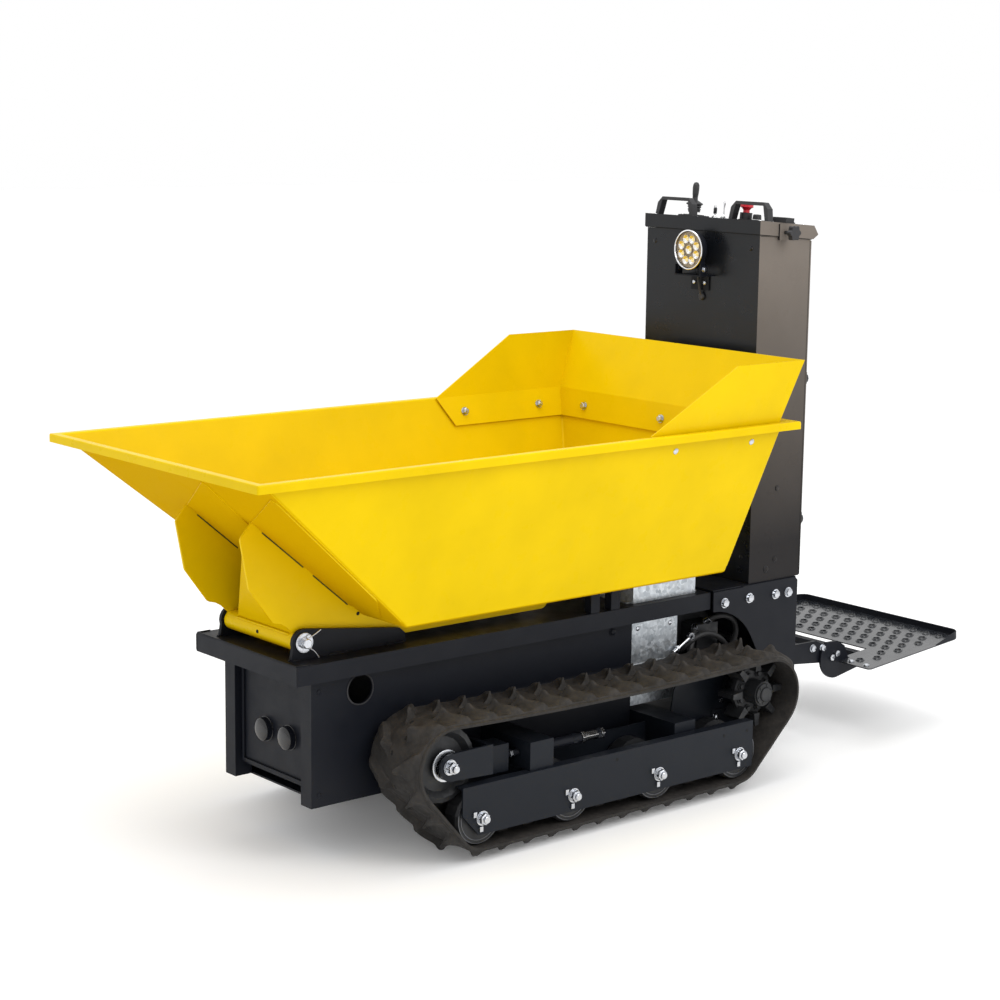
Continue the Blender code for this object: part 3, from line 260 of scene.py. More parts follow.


# The last colour is painted shade for faces that look down.
YELLOW = coat("paint_yellow", (0.725, 0.500, 0.0008), 0.30, 0.05, 0.02, 0.0, (0.60, 0.46, 0.10), 0.08,
              (0.56, 0.325, 0.001))
BLACK = coat("paint_black", (0.0072, 0.0084, 0.0125), 0.42, 0.12, 0.05, 0.0, DUST, 0.14)
BLACK_TRACK = coat("paint_black_track", (0.0090, 0.0112, 0.0160), 0.40, 0.12, 0.05, 0.0, DUST, 0.16)
# The last colour is a painted sheen for faces that look along +X, stronger higher up.
BLACK_SATIN = coat("paint_black_column", (0.0060, 0.0072, 0.0100), 0.30, 0.07, 0.03, 0.0, DUST, 0.36, None,
                   (0.175, 0.152, 0.132))
STEP_BLACK = coat("paint_step", (0.0130, 0.0150, 0.0190), 0.20, 0.10, 0.12, 0.30, (0.20, 0.20, 0.20), 0.5)
ZINC = metal("zinc_bright", (0.56, 0.58, 0.62), 0.20)
EDGE_STEEL = metal("steel_worn_edge", (0.16, 0.165, 0.18), 0.34, 0.20, 0.5, (0.05, 0.05, 0.05))
PLUG = plastic("plug_gloss", (0.010, 0.010, 0.011), 0.13, 0.02)
CHROME = metal("chrome_bright", (0.88, 0.88, 0.89), 0.09, 0.03, 0.08)
GALVANISED = galvanised("galvanised_spangle")
RUBBER = rubber("rubber_track")
PLASTIC = plastic("plastic_black", (0.014, 0.014, 0.016), 0.42)
RED = plastic("plastic_red", (0.62, 0.012, 0.028), 0.26, 0.05)
CAST = cast("casting_dark")
HOSE = plastic("hose_rubber", (0.016, 0.016, 0.017), 0.55, 0.25)
LENS = glow_lens("lamp_glass")
# Near-black. On the bend cuts, plate holes, track pits and door vents it is painted shade standing for open
# slots and holes; the seams, head gasket and grease port use it as a dark colour.
DARK = plastic("dark_gap", (0.003, 0.003, 0.003), 0.9)
TICK = plastic("marking_pale", (0.62, 0.62, 0.60), 0.5)
SCREEN = plastic("meter_window", (0.16, 0.18, 0.15), 0.12, 0.02)
DISH = plastic("lamp_dish", (0.42, 0.33, 0.20), 0.30, 0.05)


def led_material():
    f = Finish("lamp_led")
    f.colour(f.blend(f.span(f.noise(150.0, 2.0), 0.0, 1.0), (0.95, 0.72, 0.16), (1.0, 0.93, 0.62)))
    f.rough(f.span(f.noise(60.0, 2.0), 0.25, 0.45)).bump(f.noise(300.0), 0.05, 0.0002)
    return f.set(Emission_Color=(1.0, 0.82, 0.40, 1.0), Emission_Strength=0.35).mat


LED = led_material()

NODE_FINISH = {
    "bucket_body": YELLOW, "bucket_extension": YELLOW, "tipping_yoke": YELLOW, "pivot_pin": ZINC,
    "hydraulic_tank": GALVANISED, "deck_tank": GALVANISED, "battery_pack": PLASTIC, "pump_motor": CAST,
    "drive_hose": HOSE, "guard_handle_right": PLASTIC, "guard_handle_left": PLASTIC,
    "joystick_base": PLASTIC, "joystick_gimbal": ZINC, "joystick_lever": PLASTIC, "estop_base": PLASTIC,
    "estop_button": RED, "tip_toggle": CHROME, "lamp_toggle": CHROME, "speed_knob": PLASTIC,
    "hour_meter": PLASTIC, "star_knob": PLASTIC, "cylinder_rod": CHROME, "footplate_tray": STEP_BLACK,
    "lamp_lens": LENS, "door_latch_upper": PLASTIC, "door_latch_lower": PLASTIC,
    "track_belt_right": RUBBER, "track_belt_left": RUBBER, "column_shell": BLACK_SATIN,
    "rear_door": BLACK_SATIN, "control_head": BLACK_SATIN, "footplate_frame": BLACK,
}
CAST_NODES = ("track_roller", "idler_left", "idler_right", "drive_sprocket", "drive_motor")
TRACK_NODES = ("track_plate", "undercarriage", "idler_fork")
for node_name, node in NODES.items():
    chosen = NODE_FINISH.get(node_name)
    if chosen is None:
        casting = node_name.startswith(CAST_NODES)
        plated = node_name.startswith(TRACK_NODES)
        chosen = CAST if casting else BLACK_TRACK if plated else BLACK
    node.data.materials.clear()
    node.data.materials.append(chosen)


# ------------------------------------------------------------------ modelling helpers
def link(name, mesh, finish, body, width=0.0, segments=2, angle=32.0):
    """Put a mesh in the scene with its finish, its rounded edges and the body that carries it."""
    obj = bpy.data.objects.new(name, mesh)
    bpy.context.scene.collection.objects.link(obj)
    mesh.materials.append(finish)
    mesh.shade_smooth()
    mesh.set_sharp_from_angle(angle=math.radians(angle))
    if width > 0.0:
        round_edges(obj, width, segments, angle)
    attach(obj, body)
    return obj


def round_edges(obj, width, segments=2, angle=32.0):
    bevel = obj.modifiers.new("rounded", "BEVEL")
    bevel.width = width
    bevel.segments = segments
    bevel.limit_method = "ANGLE"
    bevel.angle_limit = math.radians(angle)
    bevel.harden_normals = True
    return bevel


def take(bm, name="piece"):
    bmesh.ops.recalc_face_normals(bm, faces=bm.faces)
    mesh = bpy.data.meshes.new(name)
    bm.to_mesh(mesh)
    bm.free()
    return mesh


def facing(normal):
    """Rotation that takes +Z to a direction."""
    return Vector(normal).to_track_quat("Z", "Y").to_matrix().to_4x4()


def add_box(bm, low, high):
    made = bmesh.ops.create_cube(bm, size=1.0)["verts"]
    bmesh.ops.scale(bm, vec=[b - a for a, b in zip(low, high)], verts=made)
    bmesh.ops.translate(bm, vec=[(a + b) / 2 for a, b in zip(low, high)], verts=made)
    return made


def add_cone(bm, base, normal, r1, r2, depth, segments=24, spin=0.0):
    """A cone or cylinder that stands on a point along a direction."""
    made = bmesh.ops.create_cone(bm, cap_ends=True, segments=segments, radius1=r1, radius2=r2,
                                 depth=depth)["verts"]
    place = Matrix.Translation(base) @ facing(normal)
    place = place @ Matrix.Rotation(spin, 4, "Z") @ Matrix.Translation((0, 0, depth / 2))
    bmesh.ops.transform(bm, matrix=place, verts=made)
    return made


def add_turned(bm, profile, base, normal, steps=32):
    """A solid of revolution from (radius, height) points, standing on a point."""
    rings = []
    for r, h in profile:
        if r < 1e-6:
            rings.append([bm.verts.new((0, 0, h))])
        else:
            angles = [2 * math.pi * i / steps for i in range(steps)]
            rings.append([bm.verts.new((r * math.cos(a), r * math.sin(a), h)) for a in angles])
    for low, high in zip(rings, rings[1:]):
        for i in range(steps):
            j = (i + 1) % steps
            if len(low) == 1 and len(high) > 1:
                bm.faces.new((low[0], high[j], high[i]))
            elif len(high) == 1 and len(low) > 1:
                bm.faces.new((low[i], low[j], high[0]))
            elif len(low) > 1 and len(high) > 1:
                bm.faces.new((low[i], low[j], high[j], high[i]))
    made = [v for ring in rings for v in ring]
    bmesh.ops.transform(bm, matrix=Matrix.Translation(base) @ facing(normal), verts=made)
    return made


def add_nut(bm, base, normal, across=0.019, height=0.010, spin=None):
    """A hexagon with its corners chamfered at the free end."""
    spin = RNG.uniform(0, 1.0) if spin is None else spin
    r = across / math.sqrt(3)
    add_cone(bm, base, normal, r, r, height * 0.86, 6, spin)
    top = Vector(base) + Vector(normal).normalized() * height * 0.86
    add_cone(bm, top, normal, r * 0.99, across * 0.46, height * 0.14, 6, spin)


def bolt_head(bm, base, normal, across=0.017, washer=0.011, height=0.007, spin=None):
    n = Vector(normal).normalized()
    p = Vector(base)
    add_cone(bm, p, n, washer, washer, 0.0018, 28)
    add_nut(bm, p + n * 0.0018, n, across, height, spin)


def dome(bm, base, normal, radius, height, steps=20):
    """A button head."""
    profile = [(radius, 0.0), (radius, height * 0.25)]
    profile += [(radius * math.cos(a), height * (0.25 + 0.75 * math.sin(a))) for a in (0.35, 0.75, 1.15)]
    add_turned(bm, profile + [(0.0, height)], base, normal, steps)


def drawn_solid(name, curve, merge):
    """The closed mesh of a curve, with its caps welded."""
    drawn = bpy.data.objects.new(name + "_curve", curve)
    bpy.context.scene.collection.objects.link(drawn)
    graph = bpy.context.evaluated_depsgraph_get()
    mesh = bpy.data.meshes.new_from_object(drawn.evaluated_get(graph))
    bpy.data.objects.remove(drawn, do_unlink=True)
    bm = bmesh.new()
    bm.from_mesh(mesh)
    bpy.data.meshes.remove(mesh)
    bmesh.ops.remove_doubles(bm, verts=bm.verts, dist=merge)
    return bm


def plate(name, loops, thickness, plane, offset, finish, body, width=0.0006):
    """A flat plate cut to an outline with holes. Its plane is a matrix, or YZ at an X offset."""
    curve = bpy.data.curves.new(name, "CURVE")
    curve.dimensions = "2D"
    curve.fill_mode = "BOTH"
    curve.extrude = thickness / 2
    for loop in loops:
        spline = curve.splines.new("POLY")
        spline.points.add(len(loop) - 1)
        for point, (u, v) in zip(spline.points, loop):
            point.co = (u, v, 0.0, 1.0)
        spline.use_cyclic_u = True
    bm = drawn_solid(name, curve, 0.00001)
    if plane == "YZ":
        plane = Matrix(((0, 0, 1, offset), (1, 0, 0, 0), (0, 1, 0, 0), (0, 0, 0, 1)))
    bmesh.ops.transform(bm, matrix=plane, verts=bm.verts)
    return link(name, take(bm, name), finish, body, width, 2)


def arc(cy, cz, r, a0, a1, count):
    """Points along an arc, from one angle in degrees to another."""
    angles = [math.radians(a0 + (a1 - a0) * i / (count - 1)) for i in range(count)]
    return [(cy + r * math.cos(a), cz + r * math.sin(a)) for a in angles]


def circle(cy, cz, r, count=24):
    angles = [2 * math.pi * i / count for i in range(count)]
    return [(cy + r * math.cos(a), cz + r * math.sin(a)) for a in angles]


def pipe(name, points, radius, finish, body, resolution=6, smooth=True):
    """A round bar, wire, hose or weld along points."""
    curve = bpy.data.curves.new(name, "CURVE")
    curve.dimensions = "3D"
    curve.bevel_depth = radius
    curve.bevel_resolution = resolution
    curve.use_fill_caps = True
    spline = curve.splines.new("NURBS" if smooth and len(points) > 2 else "POLY")
    spline.points.add(len(points) - 1)
    for point, place in zip(spline.points, points):
        point.co = (*place, 1.0)
    if smooth and len(points) > 2:
        spline.use_endpoint_u = True
        spline.order_u = 4 if len(points) > 3 else 3
        spline.resolution_u = 8
    bm = drawn_solid(name, curve, 0.000001)
    return link(name, take(bm, name), finish, body)


def weld(name, start, end, finish, body, radius=0.0028, slot=None):
    """A ripply weld bead between two points."""
    a, b = Vector(start), Vector(end)
    count = max(6, int((b - a).length / (radius * 1.1)))
    bm = bmesh.new()
    steps = 8
    rings = []
    turn = facing(b - a)
    for i in range(count + 1):
        swell = radius * (1.0 if i % 2 else 0.82) * RNG.uniform(0.93, 1.07)
        swell *= 0.45 if i in (0, count) else 1.0
        centre = a.lerp(b, i / count)
        loop = circle(0.0, 0.0, swell, steps)
        rings.append([bm.verts.new(centre + turn.to_3x3() @ Vector((u, v, 0))) for u, v in loop])
    for low, high in zip(rings, rings[1:]):
        for k in range(steps):
            j = (k + 1) % steps
            bm.faces.new((low[k], low[j], high[j], high[k]))
    bm.faces.new(rings[0])
    bm.faces.new(rings[-1])
    return link(name, take(bm, name), finish, body, angle=80)


# ------------------------------------------------------------------ skip
RIM = {"x": 0.407, "front": -1.139, "rear": 0.359, "z": 0.889, "drop": 0.018}
MOUTH = {"x": 0.3875, "front": -1.120, "rear": 0.313, "z": 0.886}
FLOOR = {"x": 0.276, "front": -0.686, "rear": 0.252, "z": 0.526}


def ring(bm, size, z, inset=0.0):
    x = size["x"] - inset
    front, rear = size["front"] + inset, size["rear"] - inset
    return [bm.verts.new(p) for p in ((-x, front, z), (x, front, z), (x, rear, z), (-x, rear, z))]


def skip_shell():
    """The skip as folded sheet: floor, four walls and a rim turned out and down."""
    bm = bmesh.new()
    floor = ring(bm, FLOOR, FLOOR["z"])
    mouth = ring(bm, MOUTH, RIM["z"])
    rim = ring(bm, RIM, RIM["z"])
    hem = ring(bm, RIM, RIM["z"] - RIM["drop"])
    bm.faces.new(floor[::-1])
    for low, high in ((floor, mouth), (mouth, rim), (rim, hem)):
        for i in range(4):
            j = (i + 1) % 4
            bm.faces.new((low[i], low[j], high[j], high[i]))
    bmesh.ops.recalc_face_normals(bm, faces=bm.faces)
    mesh = bpy.data.meshes.new("skip_shell")
    bm.to_mesh(mesh)
    bm.free()
    obj = bpy.data.objects.new("skip_shell", mesh)
    bpy.context.scene.collection.objects.link(obj)
    mesh.materials.append(YELLOW)
    mesh.shade_smooth()
    bend = obj.modifiers.new("bends", "BEVEL")
    bend.width = 0.0045
    bend.segments = 4
    bend.limit_method = "ANGLE"
    bend.angle_limit = math.radians(15)
    sheet = obj.modifiers.new("sheet", "SOLIDIFY")
    sheet.thickness = 0.003
    sheet.offset = -1.0
    sheet.use_even_offset = True
    edge = obj.modifiers.new("edge", "BEVEL")
    edge.width = 0.0006
    edge.segments = 2
    edge.limit_method = "ANGLE"
    edge.angle_limit = math.radians(60)
    normals = obj.modifiers.new("normals", "WEIGHTED_NORMAL")
    normals.keep_sharp = True
    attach(obj, "skip")
    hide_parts("bucket_body")
    return obj


skip_shell()
round_edges(NODES["bucket_extension"], 0.0008, 2)
ROUNDED = {
    "deck_frame": 0.0018, "chassis_box": 0.0012, "column_shell": 0.0012, "control_head": 0.0012,
    "track_plate_right": 0.0009, "track_plate_left": 0.0009, "undercarriage_frame": 0.0012,
    "idler_fork_right": 0.0010, "idler_fork_left": 0.0010, "hydraulic_tank": 0.0012,
    "rear_side_plate_right": 0.0009, "rear_side_plate_left": 0.0009,
}
for rounded, edge in ROUNDED.items():
    round_edges(NODES[rounded], edge, 2)


# ------------------------------------------------------------------ rubber tracks
TRACK = {"middle": 0.2655, "half": 0.088, "lug": 0.0235, "pitch": 0.0716, "slant": 0.62}
WHEELS = ((-0.531, 0.097, 0.0635), (0.252, 0.097, 0.0635), (0.352, 0.222, 0.084), (-0.614, 0.223, 0.084))
TOP_SAG = 0.009
WHEEL_X = 0.2775
SPROCKET = WHEELS[2][:2]
IDLER = WHEELS[3][:2]
ROLLER_Z = WHEELS[0][1]
LIFT = 0.0005


def belt_path():
    """The belt's inner line as points with outward normals, starting under the front roller."""
    turns = []
    for (y0, z0, r0), (y1, z1, r1) in zip(WHEELS, WHEELS[1:] + WHEELS[:1]):
        span = math.hypot(y1 - y0, z1 - z0)
        turns.append(math.atan2(z1 - z0, y1 - y0) + math.asin((r0 - r1) / span))
    path = []
    for index, (y, z, r) in enumerate(WHEELS):
        arrive, leave = turns[index - 1], turns[index]
        while leave < arrive:
            leave += 2 * math.pi
        steps = max(3, int((leave - arrive) / 0.10))
        for i in range(steps + 1):
            a = arrive + (leave - arrive) * i / steps - math.pi / 2
            path.append((y + (r + LIFT) * math.cos(a), z + (r + LIFT) * math.sin(a), math.cos(a),
                         math.sin(a)))
        y1, z1, r1 = WHEELS[(index + 1) % 4]
        a = leave - math.pi / 2
        start, end = path[-1], (y1 + (r1 + LIFT) * math.cos(a), z1 + (r1 + LIFT) * math.sin(a))
        for i in range(1, 16):
            t = i / 16
            sag = TOP_SAG * 4 * t * (1 - t) if index == 2 else 0.0
            path.append((start[0] + (end[0] - start[0]) * t, start[1] + (end[1] - start[1]) * t - sag,
                         math.cos(a), math.sin(a)))
    return path


class Belt:
    """Places points on the belt: across it, along it and above its inner face."""

    def __init__(self):
        self.path = belt_path()
        self.marks = [0.0]
        for p, q in zip(self.path, self.path[1:] + self.path[:1]):
            self.marks.append(self.marks[-1] + math.hypot(q[0] - p[0], q[1] - p[1]))
        self.length = self.marks[-1]

    def at(self, x, s, lift):
        s %= self.length
        index = max(i for i in range(len(self.path)) if self.marks[i] <= s)
        p, q = self.path[index], self.path[(index + 1) % len(self.path)]
        t = (s - self.marks[index]) / max(self.marks[index + 1] - self.marks[index], 1e-9)
        n = Vector((p[2] + (q[2] - p[2]) * t, p[3] + (q[3] - p[3]) * t)).normalized()
        return (x, p[0] + (q[0] - p[0]) * t + n.x * lift, p[1] + (q[1] - p[1]) * t + n.y * lift)


BELT = Belt()
SKIN = ((-0.088, 0.0005), (-0.088, 0.0060), (-0.0855, 0.0072), (-0.0820, 0.0076), (-0.0800, 0.0110),
        (0.0800, 0.0110), (0.0820, 0.0076), (0.0855, 0.0072), (0.088, 0.0060), (0.088, 0.0005),
        (0.030, 0.0), (-0.030, 0.0))
BAR = ((-0.0160, 0.0), (-0.0118, 0.10), (-0.0084, 0.40), (-0.0062, 0.80), (-0.0048, 0.96), (-0.0030, 1.0),
       (0.0030, 1.0), (0.0052, 0.93), (0.0084, 0.72), (0.0140, 0.42), (0.0205, 0.16), (0.0270, 0.0))
REACH = ((0.0200, 0.0, 0.84), (0.0216, 0.26, 0.84), (0.0238, 0.70, 0.74), (0.0264, 1.00, 0.64),
         (0.0290, 1.06, 0.60), (0.0325, 0.98, 0.64), (0.0360, 0.78, 0.80), (0.0400, 0.66, 1.02),
         (0.0460, 0.62, 1.16), (0.0560, 0.58, 1.24), (0.0660, 0.53, 1.28), (0.0735, 0.46, 1.28),
         (0.0775, 0.30, 1.20), (0.0800, 0.0, 1.10))
BASE = 0.0106
HORN = ((-0.0135, 0.0), (-0.0105, 0.0130), (-0.0085, 0.0150), (0.0085, 0.0150), (0.0105, 0.0130),
        (0.0135, 0.0))


def belt_skin(bm, middle):
    count = int(BELT.length / 0.012)
    step = BELT.length / count
    rings = [[bm.verts.new(BELT.at(middle + u, step * i, h)) for u, h in SKIN] for i in range(count)]
    for i, ring in enumerate(rings):
        after = rings[(i + 1) % count]
        for k in range(len(SKIN)):
            j = (k + 1) % len(SKIN)
            bm.faces.new((ring[k], ring[j], after[j], after[k]))


def lug(bm, middle, way, s):
    """One slanted bar: way is +1 for the outer row, -1 for the inner row."""
    rows = []
    for reach, high, wide in REACH:
        lean = s - TRACK["slant"] * (reach - 0.030)
        x, height = middle + way * reach, high * TRACK["lug"]
        rows.append([bm.verts.new(BELT.at(x, lean + along * wide, BASE + share * height)) for along,
                     share in BAR])
    for low, high in zip(rows, rows[1:]):
        for k in range(len(BAR) - 1):
            bm.faces.new((low[k], low[k + 1], high[k + 1], high[k]))


def horn(bm, x, s):
    """A guide lug on the belt's inner face, which runs in the grooves of the rollers and the idler."""
    rows = []
    for along, share in ((-0.0125, 0.35), (-0.0080, 1.0), (0.0080, 1.0), (0.0125, 0.35)):
        rows.append([bm.verts.new(BELT.at(x + u, s + along, 0.0012 - h * share)) for u, h in HORN])
    for low, high in zip(rows, rows[1:]):
        for k in range(len(HORN) - 1):
            bm.faces.new((low[k], low[k + 1], high[k + 1], high[k]))
    bm.faces.new(rows[0])
    bm.faces.new(rows[-1])


def clear_of_sprocket(s):
    """True where a guide lug stays away from the turning sprocket."""
    _, y, z = BELT.at(0.0, s, 0.0)
    return math.hypot(y - SPROCKET[0], z - SPROCKET[1]) > WHEELS[2][2] + 0.022


def track(name, side):
    middle = side * TRACK["middle"]
    bm = bmesh.new()
    belt_skin(bm, middle)
    count = round(BELT.length / TRACK["pitch"])
    pitch = BELT.length / count
    for i in range(count):
        lug(bm, middle, side, i * pitch)
        lug(bm, middle, -side, (i + 0.5) * pitch)
        if clear_of_sprocket((i + 0.25) * pitch):
            horn(bm, side * WHEEL_X, (i + 0.25) * pitch)
    body = link(name, take(bm, name), RUBBER, "chassis", angle=34.0)
    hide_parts(name)
    # Painted shade: thin near-black discs on the belt stand for small pits.
    pits = bmesh.new()
    for i in range(count):
        for row in (0, 1):
            x = middle + (1 - 2 * row) * side * 0.0115
            for step in (0.0, 0.0045):
                s = (i + 0.5 * row) * pitch + 0.010 + step
                base, above = Vector(BELT.at(x, s, 0.0107)), Vector(BELT.at(x, s, 0.030))
                add_cone(pits, base, above - base, 0.0030, 0.0030, 0.0006, 12)
    link(name + "_pits", take(pits), DARK, "chassis")


track("track_belt_right", 1)
track("track_belt_left", -1)


# ------------------------------------------------------------------ tipping yoke under the skip
SLOPE = (RIM["z"] - FLOOR["z"]) / (MOUTH["front"] - FLOOR["front"])
STRETCH = math.hypot(1.0, SLOPE)
TIP = (-0.851, 0.490)
YOKE_X = 0.124


def on_panel(points):
    """Takes (x, y) places on the skip's front panel to its own flat drawing."""
    return [(x, (y - FLOOR["front"]) * STRETCH) for x, y in points]


def panel_frame(depth):
    """The plane of the front panel's underside, moved outwards by a depth."""
    along = Vector((0, 1, SLOPE)) / STRETCH
    normal = Vector((1, 0, 0)).cross(along)
    base = Vector((0, FLOOR["front"], FLOOR["z"])) - normal * depth
    turn = Matrix((Vector((1, 0, 0)), along, normal)).transposed().to_4x4()
    return Matrix.Translation(base) @ turn


def slot_loop(a, b, width):
    """A long hole with round ends between two points."""
    way = math.atan2(b[1] - a[1], b[0] - a[0])
    turns = [(width * math.cos(way + t), width * math.sin(way + t)) for t in (-1.57, -0.8, 0, 0.8, 1.57)]
    return [(b[0] + u, b[1] + v) for u, v in turns] + [(a[0] - u, a[1] - v) for u, v in turns]


def yoke_plate(name, x):
    under = FLOOR["z"] - 0.0003
    nose = -0.966
    low = TIP[1] - 0.0215
    outline = [(TIP[0] + 0.004, low), (-0.186, low)] + arc(-0.186, low + 0.020, 0.020, -75, 0, 6)
    outline += [(-0.166, under), (FLOOR["front"], under),
                (nose, under + SLOPE * (nose - FLOOR["front"]) - 0.0002)]
    outline += [(-0.9945, 0.7285), (-0.9970, 0.7235), (-0.9968, 0.7200), (-0.9775, 0.6195),
                (-0.9757, 0.6148), (-0.9205, 0.5406), (-0.9150, 0.5375), (-0.9000, 0.5338),
                (-0.8850, 0.5250), (TIP[0] - 0.015, TIP[1] + 0.0175), (TIP[0] - 0.014, TIP[1])]
    holes = [slot_loop((-0.290, 0.484), (-0.270, 0.484), 0.0055)]
    return plate(name, [outline] + holes, 0.006, "YZ", x, YELLOW, "skip", 0.0007)


def bend_reliefs():
    """Long narrow cuts along the bend of each yoke plate, drawn as thin near-black sheets on both faces:
    painted shade for the open slots.
    """
    for tag, x in (("right", YOKE_X), ("left", -YOKE_X)):
        lines = [slot_loop((-0.9440, 0.7320), (-0.8433, 0.6478), 0.0013),
                 slot_loop((-0.8176, 0.6263), (-0.7296, 0.5527), 0.0013),
                 circle(-0.7016, 0.5290, 0.0042, 14)]
        for k, loop in enumerate(lines):
            for face in (-1, 1):
                name = f"bend_cut_{tag}_{k}_{'in' if face < 0 else 'out'}"
                plate(name, [loop], 0.0003, "YZ", x + face * 0.00305, DARK, "skip", 0)


def tipping_yoke():
    made = [yoke_plate("yoke_plate_right", YOKE_X), yoke_plate("yoke_plate_left", -YOKE_X)]
    shape = [(0.121, -0.9637), (0.362, -1.0770), (0.370, -1.0700), (0.300, -0.7800), (0.2930, -0.7700),
             (0.2200, -0.7085), (0.2100, -0.7040), (0.121, -0.7206)]
    for name, shift in (("yoke_flange_right", 0.0), ("yoke_flange_left", -0.248)):
        loop = on_panel([(x + shift, y) for x, y in shape])
        frame_at = panel_frame(0.0031)
        made.append(plate(name, [loop], 0.0055, frame_at, 0, YELLOW, "skip", 0.0009))
    tube = bmesh.new()
    half = 0.1308
    add_turned(tube, [(0.0104, 0), (0.0215, 0), (0.0225, 0.001), (0.0225, 2 * half - 0.001),
                      (0.0215, 2 * half), (0.0104, 2 * half), (0.0104, 0)], (-half, *TIP), (1, 0, 0), 40)
    made.append(link("yoke_tube", take(tube), YELLOW, "skip"))
    cheek = [(-0.851, 0.478), (-0.713, 0.483), (-0.7075, 0.4813), (-0.6975, 0.4868), (-0.6922, 0.4975),
             (-0.6945, 0.5100), (-0.7015, 0.5165), (-0.7400, 0.5255), (-0.851, 0.506)]
    for name, x in (("yoke_cheek_right", 0.0215), ("yoke_cheek_left", -0.0215)):
        loops = [cheek, circle(-0.711, 0.500, 0.0083, 20)]
        made.append(plate(name, loops, 0.006, "YZ", x, YELLOW, "skip", 0.0006))
    top, foot = Vector((0.1208, -0.9860, 0.7150)), Vector((0.1208, -0.8640, 0.5080))
    far = Vector((-0.0870, -0.8640, 0.5080))
    normal = (foot - top).cross(far - top).normalized() * 0.0025
    rib = bmesh.new()
    sides = [[rib.verts.new(p + normal * k) for p in (top, far, foot)] for k in (-1, 1)]
    rib.faces.new(sides[0])
    rib.faces.new(sides[1][::-1])
    for i in range(3):
        j = (i + 1) % 3
        rib.faces.new((sides[0][i], sides[0][j], sides[1][j], sides[1][i]))
    made.append(link("yoke_gusset", take(rib), YELLOW, "skip", 0.0006))
    for piece in made:
        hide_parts("tipping_yoke")
    z = TIP[1] + 0.0205
    for tag, x in (("r", 0.1175), ("l", -0.1175)):
        weld(f"weld_tube_{tag}", (x, -0.8330, z - 0.007), (x, -0.8730, z - 0.013), YELLOW, "skip", 0.0034)
    weld("weld_gusset_low", (-0.086, -0.8690, 0.5045), (0.112, -0.8690, 0.5045), YELLOW, "skip", 0.0030)
    seam = (top + Vector((-0.003, -0.002, -0.004)), foot + Vector((-0.003, -0.002, 0.004)))
    weld("weld_gusset_side", *seam, YELLOW, "skip", 0.0026)
    for k, x in enumerate((0.026, -0.026)):
        weld(f"weld_cheek_{k}", (x, -0.835, 0.5095), (x, -0.868, 0.5045), YELLOW, "skip", 0.0028)
    nipple = bmesh.new()
    add_cone(nipple, (0.0, TIP[0] - 0.0222, TIP[1]), (0, -1, 0), 0.0040, 0.0040, 0.0012, 16)
    link("grease_port", take(nipple), DARK, "skip")
    runs = bmesh.new()
    for y in (-0.64, -0.50, -0.36, -0.22):
        for x in (YOKE_X + 0.0034, -YOKE_X - 0.0034):
            add_cone(runs, (x, y, 0.5235), (0, 1, 0), 0.0023, 0.0023, 0.032, 8)
    link("rail_welds", take(runs), YELLOW, "skip", 0.0008)


tipping_yoke()
bend_reliefs()


# ------------------------------------------------------------------ skip hardware
def wall_point(y, z, lift):
    """A place on the outside of the skip's side wall, lifted off it, and the wall's outward direction."""
    share = (z - FLOOR["z"]) / (RIM["z"] - FLOOR["z"])
    lean = MOUTH["x"] - FLOOR["x"]
    normal = Vector((RIM["z"] - FLOOR["z"], 0, -lean)).normalized()
    return Vector((FLOOR["x"] + lean * share, y, z)) + normal * lift, normal


def skip_hardware():
    heads = bmesh.new()
    for side in (-1, 1):
        mirror = Vector((side, 1, 1))
        for y in (-0.016, 0.224):
            out, normal = wall_point(y, 0.850, 0.0002)
            back, _ = wall_point(y, 0.850, -0.0070)
            add_cone(heads, out * mirror, normal * mirror, 0.0100, 0.0100, 0.0016, 28)
            dome(heads, (out + normal * 0.0016) * mirror, normal * mirror, 0.0078, 0.0044)
            add_cone(heads, back * mirror, -normal * mirror, 0.0105, 0.0105, 0.0018, 28)
            add_nut(heads, (back - normal * 0.0018) * mirror, -normal * mirror, 0.0140, 0.0075)
            add_cone(heads, (back - normal * 0.0093) * mirror, -normal * mirror, 0.0042, 0.0036, 0.0035, 14)
    normal = Vector((0, RIM["z"] - FLOOR["z"], FLOOR["rear"] - MOUTH["rear"])).normalized()
    for x in (-0.28, 0.0, 0.28):
        out = Vector((x, FLOOR["rear"] + (MOUTH["rear"] - FLOOR["rear"]) * 0.8926, 0.850))
        add_cone(heads, out + normal * 0.0002, normal, 0.0100, 0.0100, 0.0016, 28)
        dome(heads, out + normal * 0.0018, normal, 0.0078, 0.0044)
        back = out - normal * 0.0070
        add_cone(heads, back, -normal, 0.0105, 0.0105, 0.0018, 28)
        add_nut(heads, back - normal * 0.0018, -normal, 0.0140, 0.0075)
    link("skip_bolts", take(heads), ZINC, "skip", 0.0003)
    seams = bmesh.new()
    for side in (-1, 1):
        for rim_y, floor_y in ((MOUTH["front"], FLOOR["front"]), (MOUTH["rear"], FLOOR["rear"])):
            a = Vector((side * FLOOR["x"], floor_y, FLOOR["z"]))
            b = Vector((side * MOUTH["x"], rim_y, RIM["z"]))
            for k in range(34):
                p = a.lerp(b, (k + 1.5) / 37)
                add_cone(seams, p, b - a, 0.0022, 0.0019, (b - a).length / 40, 8)
    link("skip_seams", take(seams), YELLOW, "skip")


skip_hardware()


# ------------------------------------------------------------------ deck, hinge and chassis hardware
DECK_TOP = 0.4548


